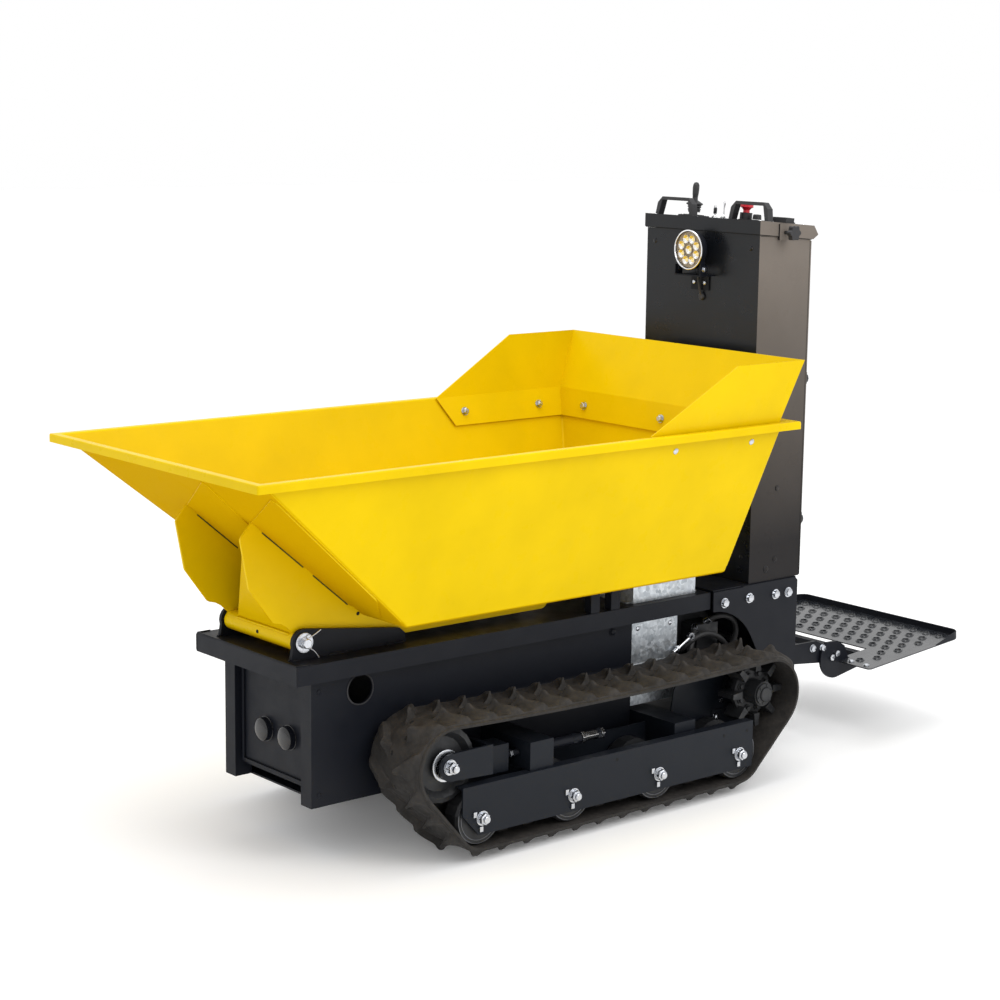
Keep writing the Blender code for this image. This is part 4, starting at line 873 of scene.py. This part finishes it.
def hinge_hardware():
    metalwork = bmesh.new()
    for side in (-1, 1):
        ring = [(0.0199, 0), (0.0212, 0), (0.0217, 0.0006), (0.0217, 0.0024), (0.0212, 0.0030),
                (0.0199, 0.0030), (0.0199, 0)]
        add_turned(metalwork, ring, (side * 0.1414, *TIP), (side, 0, 0), 40)
        add_turned(metalwork, [(0.0, 0.0), (0.0125, 0.0), (0.0125, 0.0030), (0.0104, 0.0030),
                               (0.0104, 0.0112), (0.0090, 0.0122), (0.0, 0.0122)], (side * 0.1444, *TIP),
                   (side, 0, 0), 32)
    link("hinge_washers", take(metalwork), ZINC, "chassis", 0.0002)
    for side in (-1, 1):
        tag = "right" if side > 0 else "left"
        x = side * 0.1500
        wire = [(x + side * 0.004, TIP[0] + 0.034, TIP[1] + 0.026),
                (x + side * 0.003, TIP[0] + 0.018, TIP[1] + 0.016), (x, TIP[0] + 0.004, TIP[1] + 0.010),
                (x, TIP[0] - 0.010, TIP[1] + 0.004), (x, TIP[0] - 0.013, TIP[1] - 0.004),
                (x, TIP[0] - 0.006, TIP[1] - 0.010), (x, TIP[0] + 0.008, TIP[1] - 0.010),
                (x + side * 0.003, TIP[0] + 0.020, TIP[1] - 0.018),
                (x + side * 0.004, TIP[0] + 0.029, TIP[1] - 0.034)]
        pipe(f"hinge_clip_{tag}", wire, 0.0013, ZINC, "chassis")
        beads = (("front", -0.883, -0.862), ("middle", -0.790, -0.740), ("rear", -0.640, -0.590))
        for end, start, stop in beads:
            x = side * 0.1425
            weld(f"weld_ear_{tag}_{end}", (x, start, DECK_TOP), (x, stop, DECK_TOP), BLACK, "chassis", 0.0030)
        ends = [(side * x, -0.8845, DECK_TOP) for x in (0.1320, 0.1410)]
        weld(f"weld_ear_nose_{tag}", *ends, BLACK, "chassis", 0.0028)


hinge_hardware()


def chassis_hardware():
    zinc = bmesh.new()
    black = bmesh.new()
    for side in (-1, 1):
        for y, z in ((0.3354, 0.424), (0.421, 0.425), (0.5122, 0.4226), (0.5572, 0.4216)):
            add_cone(zinc, (side * 0.1996, y, z), (side, 0, 0), 0.0125, 0.0125, 0.0018, 30)
            add_nut(zinc, (side * 0.2014, y, z), (side, 0, 0), 0.0172, 0.0068)
        add_cone(black, (side * 0.1652, 0.003, 0.394), (side, 0, 0), 0.0100, 0.0100, 0.0016, 24)
        dome(black, (side * 0.1668, 0.003, 0.394), (side, 0, 0), 0.0078, 0.0042)
        for y, z in ((-0.8300, 0.160), (-0.8300, 0.385)):
            dome(black, (side * 0.1652, y, z), (side, 0, 0), 0.0060, 0.0030)
        for y in (0.0830, 0.1880):
            dome(zinc, (side * 0.1652, y, 0.3900), (side, 0, 0), 0.0055, 0.0028)
    link("plate_bolts", take(zinc), ZINC, "chassis", 0.0003)
    link("chassis_bolts", take(black), BLACK, "chassis", 0.0003)
    ring = bmesh.new()
    for side in (-1, 1):
        profile = [(0.0322, 0.0), (0.0352, 0.0), (0.0352, 0.0012), (0.0338, 0.0022), (0.0322, 0.0018)]
        add_turned(ring, profile + profile[:1], (side * 0.1652, -0.7236, 0.3745), (side, 0, 0), 40)
    link("hole_grommet", take(ring), PLASTIC, "chassis")
    edge = bmesh.new()
    for side in (-1, 1):
        add_box(edge, (side * 0.116 - 0.004, -0.8372, 0.170), (side * 0.116 + 0.004, -0.8324, 0.405))
    add_box(edge, (-0.112, -0.8372, 0.397), (0.112, -0.8324, 0.405))
    add_box(edge, (-0.112, -0.8372, 0.170), (0.112, -0.8324, 0.178))
    link("front_trim", take(edge), BLACK, "chassis", 0.0010)
    plugs = bmesh.new()
    for x in (-0.030, 0.058):
        dome(plugs, (x, -0.8444, 0.262), (0, -1, 0), 0.0252, 0.0072, 36)
        add_turned(plugs, [(0.0262, 0), (0.0276, 0), (0.0276, 0.0012), (0.0262, 0.0018), (0.0262, 0)],
                   (x, -0.8322, 0.262), (0, -1, 0), 36)
    link("front_plugs", take(plugs), PLUG, "chassis")
    rim = bmesh.new()
    for side in (-1, 1):
        add_cone(rim, (side * 0.1745, 0.1935, 0.3180), (0, 0.877, 0.481), 0.0048, 0.0048, 0.0560, 20)
        add_turned(rim, [(0.0045, -0.004), (0.0100, -0.004), (0.0100, 0.004), (0.0045, 0.004),
                         (0.0045, -0.004)], (side * 0.1745, 0.2495, 0.3487), (1, 0, 0), 24)
        add_nut(rim, (side * 0.1745, 0.2050, 0.3243), (0, 0.877, 0.481), 0.0130, 0.0065)
    link("brake_rod", take(rim), ZINC, "chassis", 0.0003)


chassis_hardware()


# ------------------------------------------------------------------ undercarriage hardware
ROLLER_Y = (-0.531, -0.270, -0.009, 0.252)
PLATE_OUT = 0.3445


def undercarriage_hardware(side, tag):
    out = (side, 0, 0)
    nuts = bmesh.new()
    for y in ROLLER_Y:
        base = Vector((side * (PLATE_OUT + 0.0002), y, ROLLER_Z))
        add_cone(nuts, base, out, 0.0165, 0.0165, 0.0024, 30)
        add_cone(nuts, base + Vector(out) * 0.0024, out, 0.0140, 0.0136, 0.0022, 26)
        add_nut(nuts, base + Vector(out) * 0.0030, out, 0.0232, 0.0118)
        tip = base + Vector(out) * 0.0148
        add_cone(nuts, tip, out, 0.0086, 0.0086, 0.0040, 20)
        add_cone(nuts, tip + Vector(out) * 0.0040, out, 0.0086, 0.0066, 0.0016, 20)
        for dy, dz in ((-0.0215, 0.0115), (-0.0040, -0.0235)):
            near, far = sorted((base.x - side * 0.0001, base.x + side * 0.0042))
            add_box(nuts, (near, y + dy - 0.0045, ROLLER_Z + dz - 0.0060),
                    (far, y + dy + 0.0045, ROLLER_Z + dz + 0.0060))
    link(f"roller_nuts_{tag}", take(nuts), ZINC, "chassis", 0.0005)
    # Painted shade: thin near-black discs on the plate stand for its holes.
    marks = bmesh.new()
    for y, z in ((0.200, 0.150), (0.276, 0.150), (0.276, 0.080), (-0.140, 0.155)):
        add_cone(marks, (side * (PLATE_OUT + 0.0001), y, z), out, 0.0040, 0.0040, 0.0004, 16)
    link(f"plate_hole_shade_{tag}", take(marks), DARK, "chassis")
    idler = bmesh.new()
    base = Vector((side * 0.3357, *IDLER))
    add_cone(idler, base, out, 0.0172, 0.0172, 0.0030, 32)
    ring = [(0.0100, 0.0), (0.0350, 0.0), (0.0356, 0.0008), (0.0356, 0.0026), (0.0350, 0.0034),
            (0.0100, 0.0034), (0.0100, 0.0)]
    add_turned(idler, ring, (side * 0.3200, *IDLER), out, 44)
    add_cone(idler, base + Vector(out) * 0.0034, out, 0.0160, 0.0160, 0.0022, 28)
    add_nut(idler, base + Vector(out) * 0.0056, out, 0.0232, 0.0120)
    add_cone(idler, base + Vector(out) * 0.0170, out, 0.0083, 0.0083, 0.0080, 20)
    add_cone(idler, base + Vector(out) * 0.0250, out, 0.0083, 0.0062, 0.0016, 20)
    middle = side * 0.2895
    add_nut(idler, (middle, -0.4130, 0.205), (0, 1, 0), 0.0170, 0.0080)
    coupling = bmesh.new()
    add_nut(coupling, (middle, -0.2060, 0.205), (0, 1, 0), 0.0260, 0.0100, 0.3)
    add_cone(coupling, (middle, -0.1960, 0.205), (0, 1, 0), 0.0112, 0.0112, 0.0480, 6, 0.3)
    add_nut(coupling, (middle, -0.1480, 0.205), (0, 1, 0), 0.0240, 0.0100, 0.3)
    link(f"tensioner_coupling_{tag}", take(coupling), CHROME, f"tensioner_{tag}", 0.0004)
    link(f"tensioner_nuts_{tag}", take(idler), ZINC, f"tensioner_{tag}", 0.0004)
    screw = [(0.0, 0.0)]
    for k in range(18):
        screw += [(0.0072, 0.0003 + k * 0.0022), (0.0080, 0.0011 + k * 0.0022), (0.0072, 0.0019 + k * 0.0022)]
    dark = bmesh.new()
    add_turned(dark, screw + [(0.0, 0.0400)], (middle, -0.4280, 0.205), (0, 1, 0), 18)
    add_cone(dark, (middle, -0.3215, 0.205), (0, 1, 0), 0.0112, 0.0112, 0.1150, 24)
    link(f"tensioner_screw_{tag}", take(dark), BLACK, f"tensioner_{tag}", 0.0004)


undercarriage_hardware(1, "right")
undercarriage_hardware(-1, "left")


# ------------------------------------------------------------------ control column
HEAD_FALL = -0.0875
HEAD_FRONT = (0.4185, 1.337)
SIZE = math.hypot(1.0, HEAD_FALL)
HEAD_UP = Vector((0, -HEAD_FALL, 1)) / SIZE


def on_head(x, y, height=0.0):
    """A place on the sloping head, lifted square to it."""
    return Vector((x, y, HEAD_FRONT[1] + HEAD_FALL * (y - HEAD_FRONT[0]))) + HEAD_UP * height


def column_details():
    dark = bmesh.new()
    for side in (-1, 1):
        for y, z, r in ((0.4815, 0.488, 0.0085), (0.512, 0.509, 0.0070)):
            dome(dark, (side * 0.1931, y, z), (side, 0, 0), r, 0.0026)
        dome(dark, (side * 0.1931, 0.512, 0.686), (side, 0, 0), 0.0065, 0.0032)
    for x in (-0.165, 0.165):
        for z in (0.520, 1.270):
            dome(dark, (x, 0.4233, z), (0, -1, 0), 0.0055, 0.0026)
    link("column_plugs", take(dark), BLACK_SATIN, "chassis")
    seams = bmesh.new()
    for side in (-1, 1):
        add_box(seams, (side * 0.19315 - 0.0002, 0.5975, 0.475), (side * 0.19315 + 0.0002, 0.5985, 1.285))
        add_box(seams, (side * 0.19315 - 0.0002, 0.4270, 1.2990), (side * 0.19315 + 0.0002, 0.5990, 1.2998))
    link("column_seams", take(seams), DARK, "chassis")
    place = Matrix.Translation((0, HEAD_FRONT[0], 1.3039)) @ Matrix.Rotation(math.atan(HEAD_FALL), 4, "X")
    gasket = [(-0.1968, 0.0012), (0.1968, 0.0012), (0.1968, 0.1820), (-0.1968, 0.1820)]
    plate("head_gasket", [gasket], 0.0020, place, 0, DARK, "chassis", 0)
    # Painted shade: thin near-black slats on the door stand for its vent slots.
    vents = bmesh.new()
    for k in range(7):
        for x in (-0.085, 0.085):
            z = 0.700 + k * 0.016
            add_box(vents, (x - 0.050, 0.6030, z), (x + 0.050, 0.6042, z + 0.0055))
    link("door_vent_shade", take(vents), DARK, "service_door", 0.0002)
    latch = bmesh.new()
    for z, tag in ((0.597, "lower"), (0.947, "upper")):
        wing = bmesh.new()
        add_box(wing, (0.172 - 0.0035, 0.6190, z - 0.0150), (0.172 + 0.0035, 0.6250, z + 0.0150))
        link(f"latch_wing_{tag}", take(wing), PLASTIC, f"latch_{tag}", 0.0015)
        add_turned(latch, [(0.0140, 0), (0.0178, 0), (0.0178, 0.0012), (0.0168, 0.0022), (0.0140, 0.0022),
                           (0.0140, 0)], (0.172, 0.6040, z), (0, 1, 0), 36)
    link("latch_rosettes", take(latch), PLASTIC, "service_door")
    cable = [(0.0, 0.4085, 1.2300), (0.0, 0.4120, 1.1950), (0.004, 0.4140, 1.1650),
             (0.006, 0.4190, 1.1480), (0.006, 0.4232, 1.1440)]
    pipe("lamp_lead", cable, 0.0030, HOSE, "chassis")
    gland = bmesh.new()
    add_turned(gland, [(0.0, 0.0), (0.0095, 0.0), (0.0095, 0.0040), (0.0070, 0.0060), (0.0, 0.0060)],
               (0.006, 0.4234, 1.1440), (0, -1, 0), 24)
    link("lamp_gland", take(gland), PLASTIC, "chassis")


column_details()


def head_details():
    chrome = bmesh.new()
    for x in (-0.030, 0.0):
        add_cone(chrome, on_head(x, 0.494, 0.0002), HEAD_UP, 0.0085, 0.0085, 0.0010, 30)
        add_nut(chrome, on_head(x, 0.494, 0.0012), HEAD_UP, 0.0130, 0.0030, 0.4)
    for x in (-0.180, 0.180):
        for y in (0.436, 0.585):
            dome(chrome, on_head(x, y, 0.0001), HEAD_UP, 0.0042, 0.0020)
    for x, y in ((-0.1257, 0.472), (-0.0817, 0.472), (-0.1257, 0.516), (-0.0817, 0.516)):
        dome(chrome, on_head(x, y, 0.0040), HEAD_UP, 0.0024, 0.0014, 14)
    link("switch_nuts", take(chrome), CHROME, "chassis", 0.0002)
    ring = bmesh.new()
    turn = Matrix.Translation(on_head(-0.1037, 0.494)) @ facing(HEAD_UP)
    shape = [(0.0275 * sx, 0.0275 * sy) for sx, sy in ((-1, -1), (1, -1), (1, 1), (-1, 1))]
    turn = turn @ Matrix.Translation((0, 0, 0.0021))
    plate("joystick_flange", [shape, circle(0, 0, 0.0264, 32)], 0.0036, turn, 0, PLASTIC, "chassis",
          0.0008)
    add_turned(ring, [(0.0152, 0.0), (0.0185, 0.0), (0.0185, 0.0016), (0.0160, 0.0024), (0.0152, 0.0016),
                      (0.0152, 0.0)], on_head(0.0757, 0.494, 0.0002), HEAD_UP, 36)
    base = Matrix.Translation(on_head(0.113, 0.494)) @ facing(HEAD_UP)
    plate("dial_plate", [[(-0.0135, -0.0135), (0.0135, -0.0135), (0.0135, 0.0135), (-0.0135, 0.0135)]],
          0.0022, base @ Matrix.Translation((0, 0, 0.0013)), 0, PLASTIC, "chassis", 0.0006)
    link("stop_collar", take(ring), PLASTIC, "chassis")
    ticks = bmesh.new()
    for k in range(11):
        a = math.radians(-135 + 27 * k)
        made = add_box(ticks, (-0.0003, 0.0118, 0.0), (0.0003, 0.0131, 0.0001))
        turned = base @ Matrix.Translation((0, 0, 0.0024)) @ Matrix.Rotation(a, 4, "Z")
        bmesh.ops.transform(ticks, matrix=turned, verts=made)
    link("dial_ticks", take(ticks), TICK, "chassis")
    pointer = bmesh.new()
    made = add_box(pointer, (-0.0005, 0.0015, 0.0), (0.0005, 0.0085, 0.0003))
    bmesh.ops.transform(pointer, matrix=base @ Matrix.Translation((0, 0, 0.0152)), verts=made)
    link("dial_pointer", take(pointer), TICK, "speed_dial")
    window = bmesh.new()
    made = add_box(window, (-0.0150, -0.0070, 0.0), (0.0150, 0.0070, 0.0005))
    place = Matrix.Translation(on_head(0.1625, 0.534, 0.0131)) @ facing(HEAD_UP)
    bmesh.ops.transform(window, matrix=place, verts=made)
    link("meter_window", take(window), SCREEN, "chassis", 0.0002)
    tip = bmesh.new()
    add_turned(tip, [(0.0, 0.0270), (0.0030, 0.0262), (0.0044, 0.0240), (0.0044, 0.0120), (0.0036, 0.0105),
                     (0.0, 0.0105)][::-1], on_head(-0.030, 0.494), HEAD_UP, 20)
    link("toggle_sleeve", take(tip), PLASTIC, "tip_switch")
    bolts = bmesh.new()
    for side in (-1, 1):
        for x in (0.0675, 0.1875):
            dome(bolts, on_head(side * x, 0.4690, 0.0002), HEAD_UP, 0.0032, 0.0018, 14)
    link("handle_screws", take(bolts), CHROME, "chassis")


head_details()


# ------------------------------------------------------------------ work lamp
LAMP = (0.3775, 1.2585)


def work_lamp():
    front = Vector((0.0, *LAMP))
    ring = bmesh.new()
    profile = [(0.0442, 0.0008), (0.0452, -0.0018), (0.0470, -0.0022), (0.0483, -0.0012), (0.0486, 0.0012),
               (0.0478, 0.0030)]
    profile += [(0.0476, 0.0012), (0.0442, 0.0012)]
    add_turned(ring, [(r, -h) for r, h in profile + profile[:1]], front, (0, -1, 0), 64)
    link("lamp_bezel", take(ring), CHROME, "work_lamp")
    dish = bmesh.new()
    add_turned(dish, [(0.0, -0.0056), (0.0434, -0.0056), (0.0434, -0.0030), (0.0425, -0.0050),
                      (0.0, -0.0050)], front, (0, -1, 0), 64)
    link("lamp_dish", take(dish), DISH, "work_lamp")
    cups = bmesh.new()
    chips = bmesh.new()
    angles = [math.radians(45 * k + 22.5) for k in range(8)]
    places = [(0.0, 0.0)] + [(0.0272 * math.cos(a), 0.0272 * math.sin(a)) for a in angles]
    for x, z in places:
        spot = front + Vector((x, 0.0050, z))
        add_turned(cups, [(0.0040, 0.0001), (0.0098, 0.0040), (0.0102, 0.0040), (0.0050, 0.0001)], spot,
                   (0, -1, 0), 28)
        add_cone(chips, spot, (0, -1, 0), 0.0042, 0.0034, 0.0016, 8)
    link("lamp_reflectors", take(cups), CHROME, "work_lamp")
    link("lamp_chips", take(chips), LED, "work_lamp")
    glass = bmesh.new()
    add_turned(glass, [(0.0, -0.0009), (0.0436, -0.0009), (0.0436, -0.0003), (0.0, 0.0004)], front,
               (0, -1, 0), 64)
    pane = link("lamp_glass", take(glass), LENS, "work_lamp")
    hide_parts("lamp_lens")
    fins = bmesh.new()
    for k in range(5):
        x = -0.024 + 0.012 * k
        add_box(fins, (x - 0.0015, 0.4066, 1.2400), (x + 0.0015, 0.4125, 1.2770))
    link("lamp_fins", take(fins), BLACK, "work_lamp", 0.0006)
    heads = bmesh.new()
    for side in (-1, 1):
        add_cone(heads, (side * 0.0446, 0.388, 1.2125), (side, 0, 0), 0.0075, 0.0075, 0.0012, 24)
        add_nut(heads, (side * 0.0458, 0.388, 1.2125), (side, 0, 0), 0.0100, 0.0042)
    for x in (-0.018, 0.018):
        add_nut(heads, (x, 0.4198, 1.1780), (0, -1, 0), 0.0090, 0.0038)
    link("lamp_bolts", take(heads), ZINC, "chassis", 0.0002)


work_lamp()


# ------------------------------------------------------------------ stand-on footplate
STEP = {"x": 0.282, "front": 0.780, "rear": 1.139, "z": 0.2073, "slope": 0.090, "lip": 0.018,
        "sheet": 0.003, "corner": 0.030}


def footplate():
    reach = math.hypot(1.0, STEP["slope"])
    along = Vector((0, 1, STEP["slope"])) / reach
    normal = Vector((1, 0, 0)).cross(along)
    turn = Matrix((Vector((1, 0, 0)), along, normal)).transposed().to_4x4()
    place = Matrix.Translation(Vector((0, STEP["front"], STEP["z"])) - normal * STEP["sheet"] / 2) @ turn
    x, far, r = STEP["x"], (STEP["rear"] - STEP["front"]) * reach, STEP["corner"]
    notch = [(-0.1800, 0.0), (-0.1800, 0.0420), (-0.1630, 0.0420), (-0.1630, 0.1250), (0.1630, 0.1250),
             (0.1630, 0.0420), (0.1800, 0.0420), (0.1800, 0.0)]
    right = arc(x - r, far - r, r, 0, 90, 7)
    left = [(-u, v) for u, v in right[::-1]]
    outline = [(-x, 0.006), (-x + 0.006, 0.0)] + notch + [(x - 0.006, 0.0), (x, 0.006)] + right + left
    holes, collars = [], bmesh.new()
    for row in range(8):
        v = 0.040 + row * 0.0405
        shift = 0.0215 if row % 2 else 0.0
        for k in range(-6, 7):
            u = k * 0.043 + shift
            if abs(u) > x - 0.024 or v > far - 0.026 or (abs(u) < 0.1945 and v < 0.1430):
                continue
            holes.append(circle(u, v, 0.0078, 20))
            profile = [(0.0079, 0.0), (0.0079, 0.0034), (0.0086, 0.0040), (0.0096, 0.0036),
                       (0.0118, 0.0010), (0.0128, 0.0), (0.0079, 0.0)]
            add_turned(collars, profile, place @ Vector((u, v, STEP["sheet"] / 2 - 0.0002)), normal, 24)
    sheet = plate("footplate_sheet", [outline] + holes, STEP["sheet"], place, 0, STEP_BLACK, "footplate",
                  0.0007)
    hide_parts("footplate_tray")
    rims = link("footplate_collars", take(collars), STEP_BLACK, "footplate")
    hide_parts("footplate_tray")
    path = [(x, far - 0.100)] + right + left + [(-x, far - 0.100)]
    lip = bmesh.new()
    rows = []
    for u, v in path:
        cu, cv = max(-x + r, min(x - r, u)), min(far - r, v)
        out = Vector((u - cu, v - cv))
        inward = Vector((u, v)) - (out.normalized() if out.length > 1e-6 else Vector((0, 0))) * 0.0028
        share = 1.0 if v > far - r - 0.001 else 0.15
        high = STEP["lip"] * share
        corners = ((u, v, 0.0), (u, v, high), (inward.x, inward.y, high), (inward.x, inward.y, 0.0))
        rows.append([lip.verts.new(place @ Vector(p)) for p in corners])
    for low, high in zip(rows, rows[1:]):
        for k in range(4):
            lip.faces.new((low[k], low[(k + 1) % 4], high[(k + 1) % 4], high[k]))
    lip.faces.new(rows[0])
    lip.faces.new(rows[-1][::-1])
    edge = link("footplate_lip", take(lip), BLACK, "footplate", 0.0006)
    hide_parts("footplate_tray")
    bolts = bmesh.new()
    fixed = bmesh.new()
    for side in (-1, 1):
        for y, z in ((0.7700, 0.2293), (0.7508, 0.2218)):
            add_nut(bolts, (side * 0.1792, y, z), (side, 0, 0), 0.0150, 0.0060)
        for y, z in ((0.6861, 0.2733 - 0.020), (0.723, 0.2714 - 0.022)):
            add_cone(fixed, (side * 0.1712, y, z), (side, 0, 0), 0.0100, 0.0100, 0.0016, 24)
            add_nut(fixed, (side * 0.1728, y, z), (side, 0, 0), 0.0150, 0.0060)
        for u in (0.205, 0.255):
            spot = place @ Vector((side * u, 0.018, STEP["sheet"] / 2))
            add_cone(bolts, spot, normal, 0.0085, 0.0085, 0.0012, 24)
            dome(bolts, spot + normal * 0.0012, normal, 0.0065, 0.0036)
    link("footplate_bolts", take(bolts), ZINC, "footplate", 0.0003)
    link("arm_bolts", take(fixed), ZINC, "chassis", 0.0003)


footplate()


# ------------------------------------------------------------------ wheels, motors, hoses and the belly pan
def wheel_details(side, tag):
    out = Vector((side, 0, 0))
    for number, y in enumerate(ROLLER_Y, 1):
        rim = bmesh.new()
        face = Vector((side * (WHEEL_X + 0.0576), y, ROLLER_Z))
        for r in (0.0582, 0.0508):
            ridge = ((-0.0011, 0.0), (-0.0007, 0.0010), (0.0007, 0.0010), (0.0011, 0.0), (-0.0011, 0.0))
            add_turned(rim, [(r + u, h) for u, h in ridge], face, out, 48)
        which = f"{tag}_{number}"
        link(f"roller_rim_{which}", take(rim), EDGE_STEEL, f"roller_{which}")
    spokes = bmesh.new()
    hub = Vector((side * WHEEL_X, *SPROCKET)) + out * 0.0452
    add_turned(spokes, [(0.0, 0.0), (0.0250, 0.0), (0.0262, 0.0012), (0.0262, 0.0040), (0.0180, 0.0060),
                        (0.0172, 0.0096), (0.0150, 0.0112), (0.0, 0.0112)], hub, out, 36)
    for k in range(6):
        a = math.radians(60 * k + 15)
        spot = hub + Vector((0, 0.0215 * math.cos(a), 0.0215 * math.sin(a))) + out * 0.0038
        add_nut(spokes, spot, out, 0.0062, 0.0030, 0.2)
    for k in range(8):
        a = math.radians(45 * k + 22.5)
        spot = Vector((side * 0.2840, SPROCKET[0] + 0.0440 * math.cos(a), SPROCKET[1] + 0.0440 * math.sin(a)))
        add_cone(spokes, spot, out, 0.0090, 0.0085, 0.0030, 20)
        add_nut(spokes, spot + out * 0.0030, out, 0.0115, 0.0062)
    link(f"sprocket_bolts_{tag}", take(spokes), CAST, f"sprocket_{tag}", 0.0004)
    cover = bmesh.new()
    face = Vector((side * 0.2100, *SPROCKET))
    for k in range(4):
        a = math.radians(90 * k + 45)
        spot = face + Vector((0, 0.0470 * math.cos(a), 0.0470 * math.sin(a)))
        add_cone(cover, spot, out, 0.0080, 0.0080, 0.0014, 20)
        add_nut(cover, spot + out * 0.0014, out, 0.0105, 0.0050)
    link(f"motor_bolts_{tag}", take(cover), ZINC, "chassis", 0.0003)
    outline = [(0.285, 0.066), (0.305, 0.078), (0.345, 0.116), (0.388, 0.152), (0.404, 0.172),
               (0.352, 0.166), (0.285, 0.170)]
    plate(f"motor_bracket_{tag}", [outline], 0.0030, "YZ", side * 0.2162, BLACK_TRACK, "chassis", 0.0006)
    held = bmesh.new()
    for y, z in ((0.297, 0.152), (0.297, 0.090)):
        bolt_head(held, (side * 0.2178, y, z), out, 0.0130, 0.0090, 0.0055)
    link(f"bracket_bolts_{tag}", take(held), ZINC, "chassis", 0.0003)


wheel_details(1, "right")
wheel_details(-1, "left")


def drive_bay():
    """Hoses, fittings and the pan under the drive, behind the side tank."""
    pan = bmesh.new()
    add_box(pan, (-0.1605, 0.2150, 0.1340), (0.1605, 0.4700, 0.1370))
    for x in (-0.1605, 0.1575):
        add_box(pan, (x, 0.2150, 0.1372), (x + 0.0030, 0.3000, 0.1700))
    link("belly_pan", take(pan), BLACK, "chassis", 0.0008)
    runs = {
        "hose_upper": [(0.140, 0.295, 0.360), (0.156, 0.280, 0.352), (0.166, 0.262, 0.330),
                       (0.168, 0.252, 0.300), (0.164, 0.262, 0.276), (0.158, 0.300, 0.262),
                       (0.150, 0.334, 0.256)],
        "hose_middle": [(0.140, 0.330, 0.366), (0.160, 0.338, 0.382), (0.172, 0.364, 0.388),
                        (0.172, 0.398, 0.372), (0.166, 0.418, 0.338), (0.158, 0.410, 0.296),
                        (0.150, 0.374, 0.262)],
        "hose_lower": [(0.120, 0.250, 0.300), (0.146, 0.236, 0.306), (0.168, 0.244, 0.330),
                       (0.174, 0.284, 0.352), (0.174, 0.330, 0.346), (0.170, 0.372, 0.318),
                       (0.162, 0.400, 0.282)],
    }
    metalwork = bmesh.new()
    for side in (-1, 1):
        tag = "right" if side > 0 else "left"
        for name, route in runs.items():
            points = [(side * x, y, z) for x, y, z in route]
            pipe(f"{name}_{tag}", points, 0.0068, HOSE, "chassis")
            for near, after in ((points[0], points[1]), (points[-1], points[-2])):
                way = Vector(after) - Vector(near)
                add_cone(metalwork, Vector(near) + way.normalized() * 0.001, way, 0.0092, 0.0082, 0.0180, 18)
    link("hose_ferrules", take(metalwork), ZINC, "chassis", 0.0003)


drive_bay()


def deck_lip():
    """The rolled lip along the deck's front, with its corner welds."""
    roll = bmesh.new()
    for side in (-1, 1):
        add_box(roll, (side * 0.1915 - 0.0010, -0.9030, 0.4541), (side * 0.1915 + 0.0010, -0.8700, 0.4566))
    add_box(roll, (-0.1915, -0.9046, 0.4541), (0.1915, -0.9020, 0.4568))
    link("deck_lip", take(roll), BLACK, "chassis", 0.0007)
    for side in (-1, 1):
        tag = "right" if side > 0 else "left"
        ends = [(side * 0.1932, -0.9047, z) for z in (0.4155, 0.4520)]
        weld(f"deck_corner_{tag}", *ends, BLACK, "chassis", 0.0016)


deck_lip()
# ------------------------------------------------------------------ stage
def stage():
    floor_mesh = bpy.data.meshes.new("floor")
    bm = bmesh.new()
    bmesh.ops.create_grid(bm, x_segments=1, y_segments=1, size=30.0)
    bm.to_mesh(floor_mesh)
    bm.free()
    floor = bpy.data.objects.new("floor", floor_mesh)
    bpy.context.scene.collection.objects.link(floor)
    f = Finish("floor_white")
    f.colour(f.blend(f.noise(0.6, 2.0), (0.93, 0.93, 0.93), (0.95, 0.95, 0.95)))
    f.set(Roughness=0.75, Specular_IOR_Level=0.2, Emission_Color=(1.0, 1.0, 1.0, 1.0),
          Emission_Strength=0.085)
    floor_mesh.materials.append(f.mat)


def area(name, place, target, size, power):
    data = bpy.data.lights.new(name, "AREA")
    data.shape = "RECTANGLE"
    data.size, data.size_y = size
    data.energy = power
    lamp = bpy.data.objects.new(name, data)
    bpy.context.scene.collection.objects.link(lamp)
    lamp.location = place
    lamp.rotation_euler = (Vector(target) - Vector(place)).to_track_quat("-Z", "Y").to_euler()
    return lamp


def camera():
    azimuth, elevation, roll = math.radians(50.2474), math.radians(10.2493), math.radians(0.7342)
    level = Vector((math.sin(azimuth), -math.cos(azimuth), 0.0))
    back = level * math.cos(elevation) + Vector((0, 0, math.sin(elevation)))
    right = Vector((math.cos(azimuth), math.sin(azimuth), 0.0))
    up = back.cross(right)
    side = right * math.cos(roll) + up * math.sin(roll)
    top = -right * math.sin(roll) + up * math.cos(roll)
    data = bpy.data.cameras.new("camera")
    data.lens = 80.14
    data.sensor_width = 36.0
    data.clip_end = 200.0
    obj = bpy.data.objects.new("camera", data)
    bpy.context.scene.collection.objects.link(obj)
    turn = Matrix((side, top, back)).transposed().to_4x4()
    obj.matrix_world = Matrix.Translation(Vector((0.0, -0.206, 0.7039)) + back * 5.124) @ turn
    bpy.context.scene.camera = obj


def world():
    made = bpy.data.worlds.new("studio")
    made.use_nodes = True
    made.node_tree.nodes["Background"].inputs["Color"].default_value = (1.0, 1.0, 1.0, 1.0)
    made.node_tree.nodes["Background"].inputs["Strength"].default_value = 1.0
    bpy.context.scene.world = made
    bpy.context.scene.view_settings.view_transform = "Standard"


stage()
world()
area("key", (3.4, 0.6, 3.2), (0, 0.0, 0.6), (2.2, 2.2), 55)
area("top", (0.0, -0.6, 4.4), (0, -0.3, 0), (3.4, 3.4), 70)
camera()
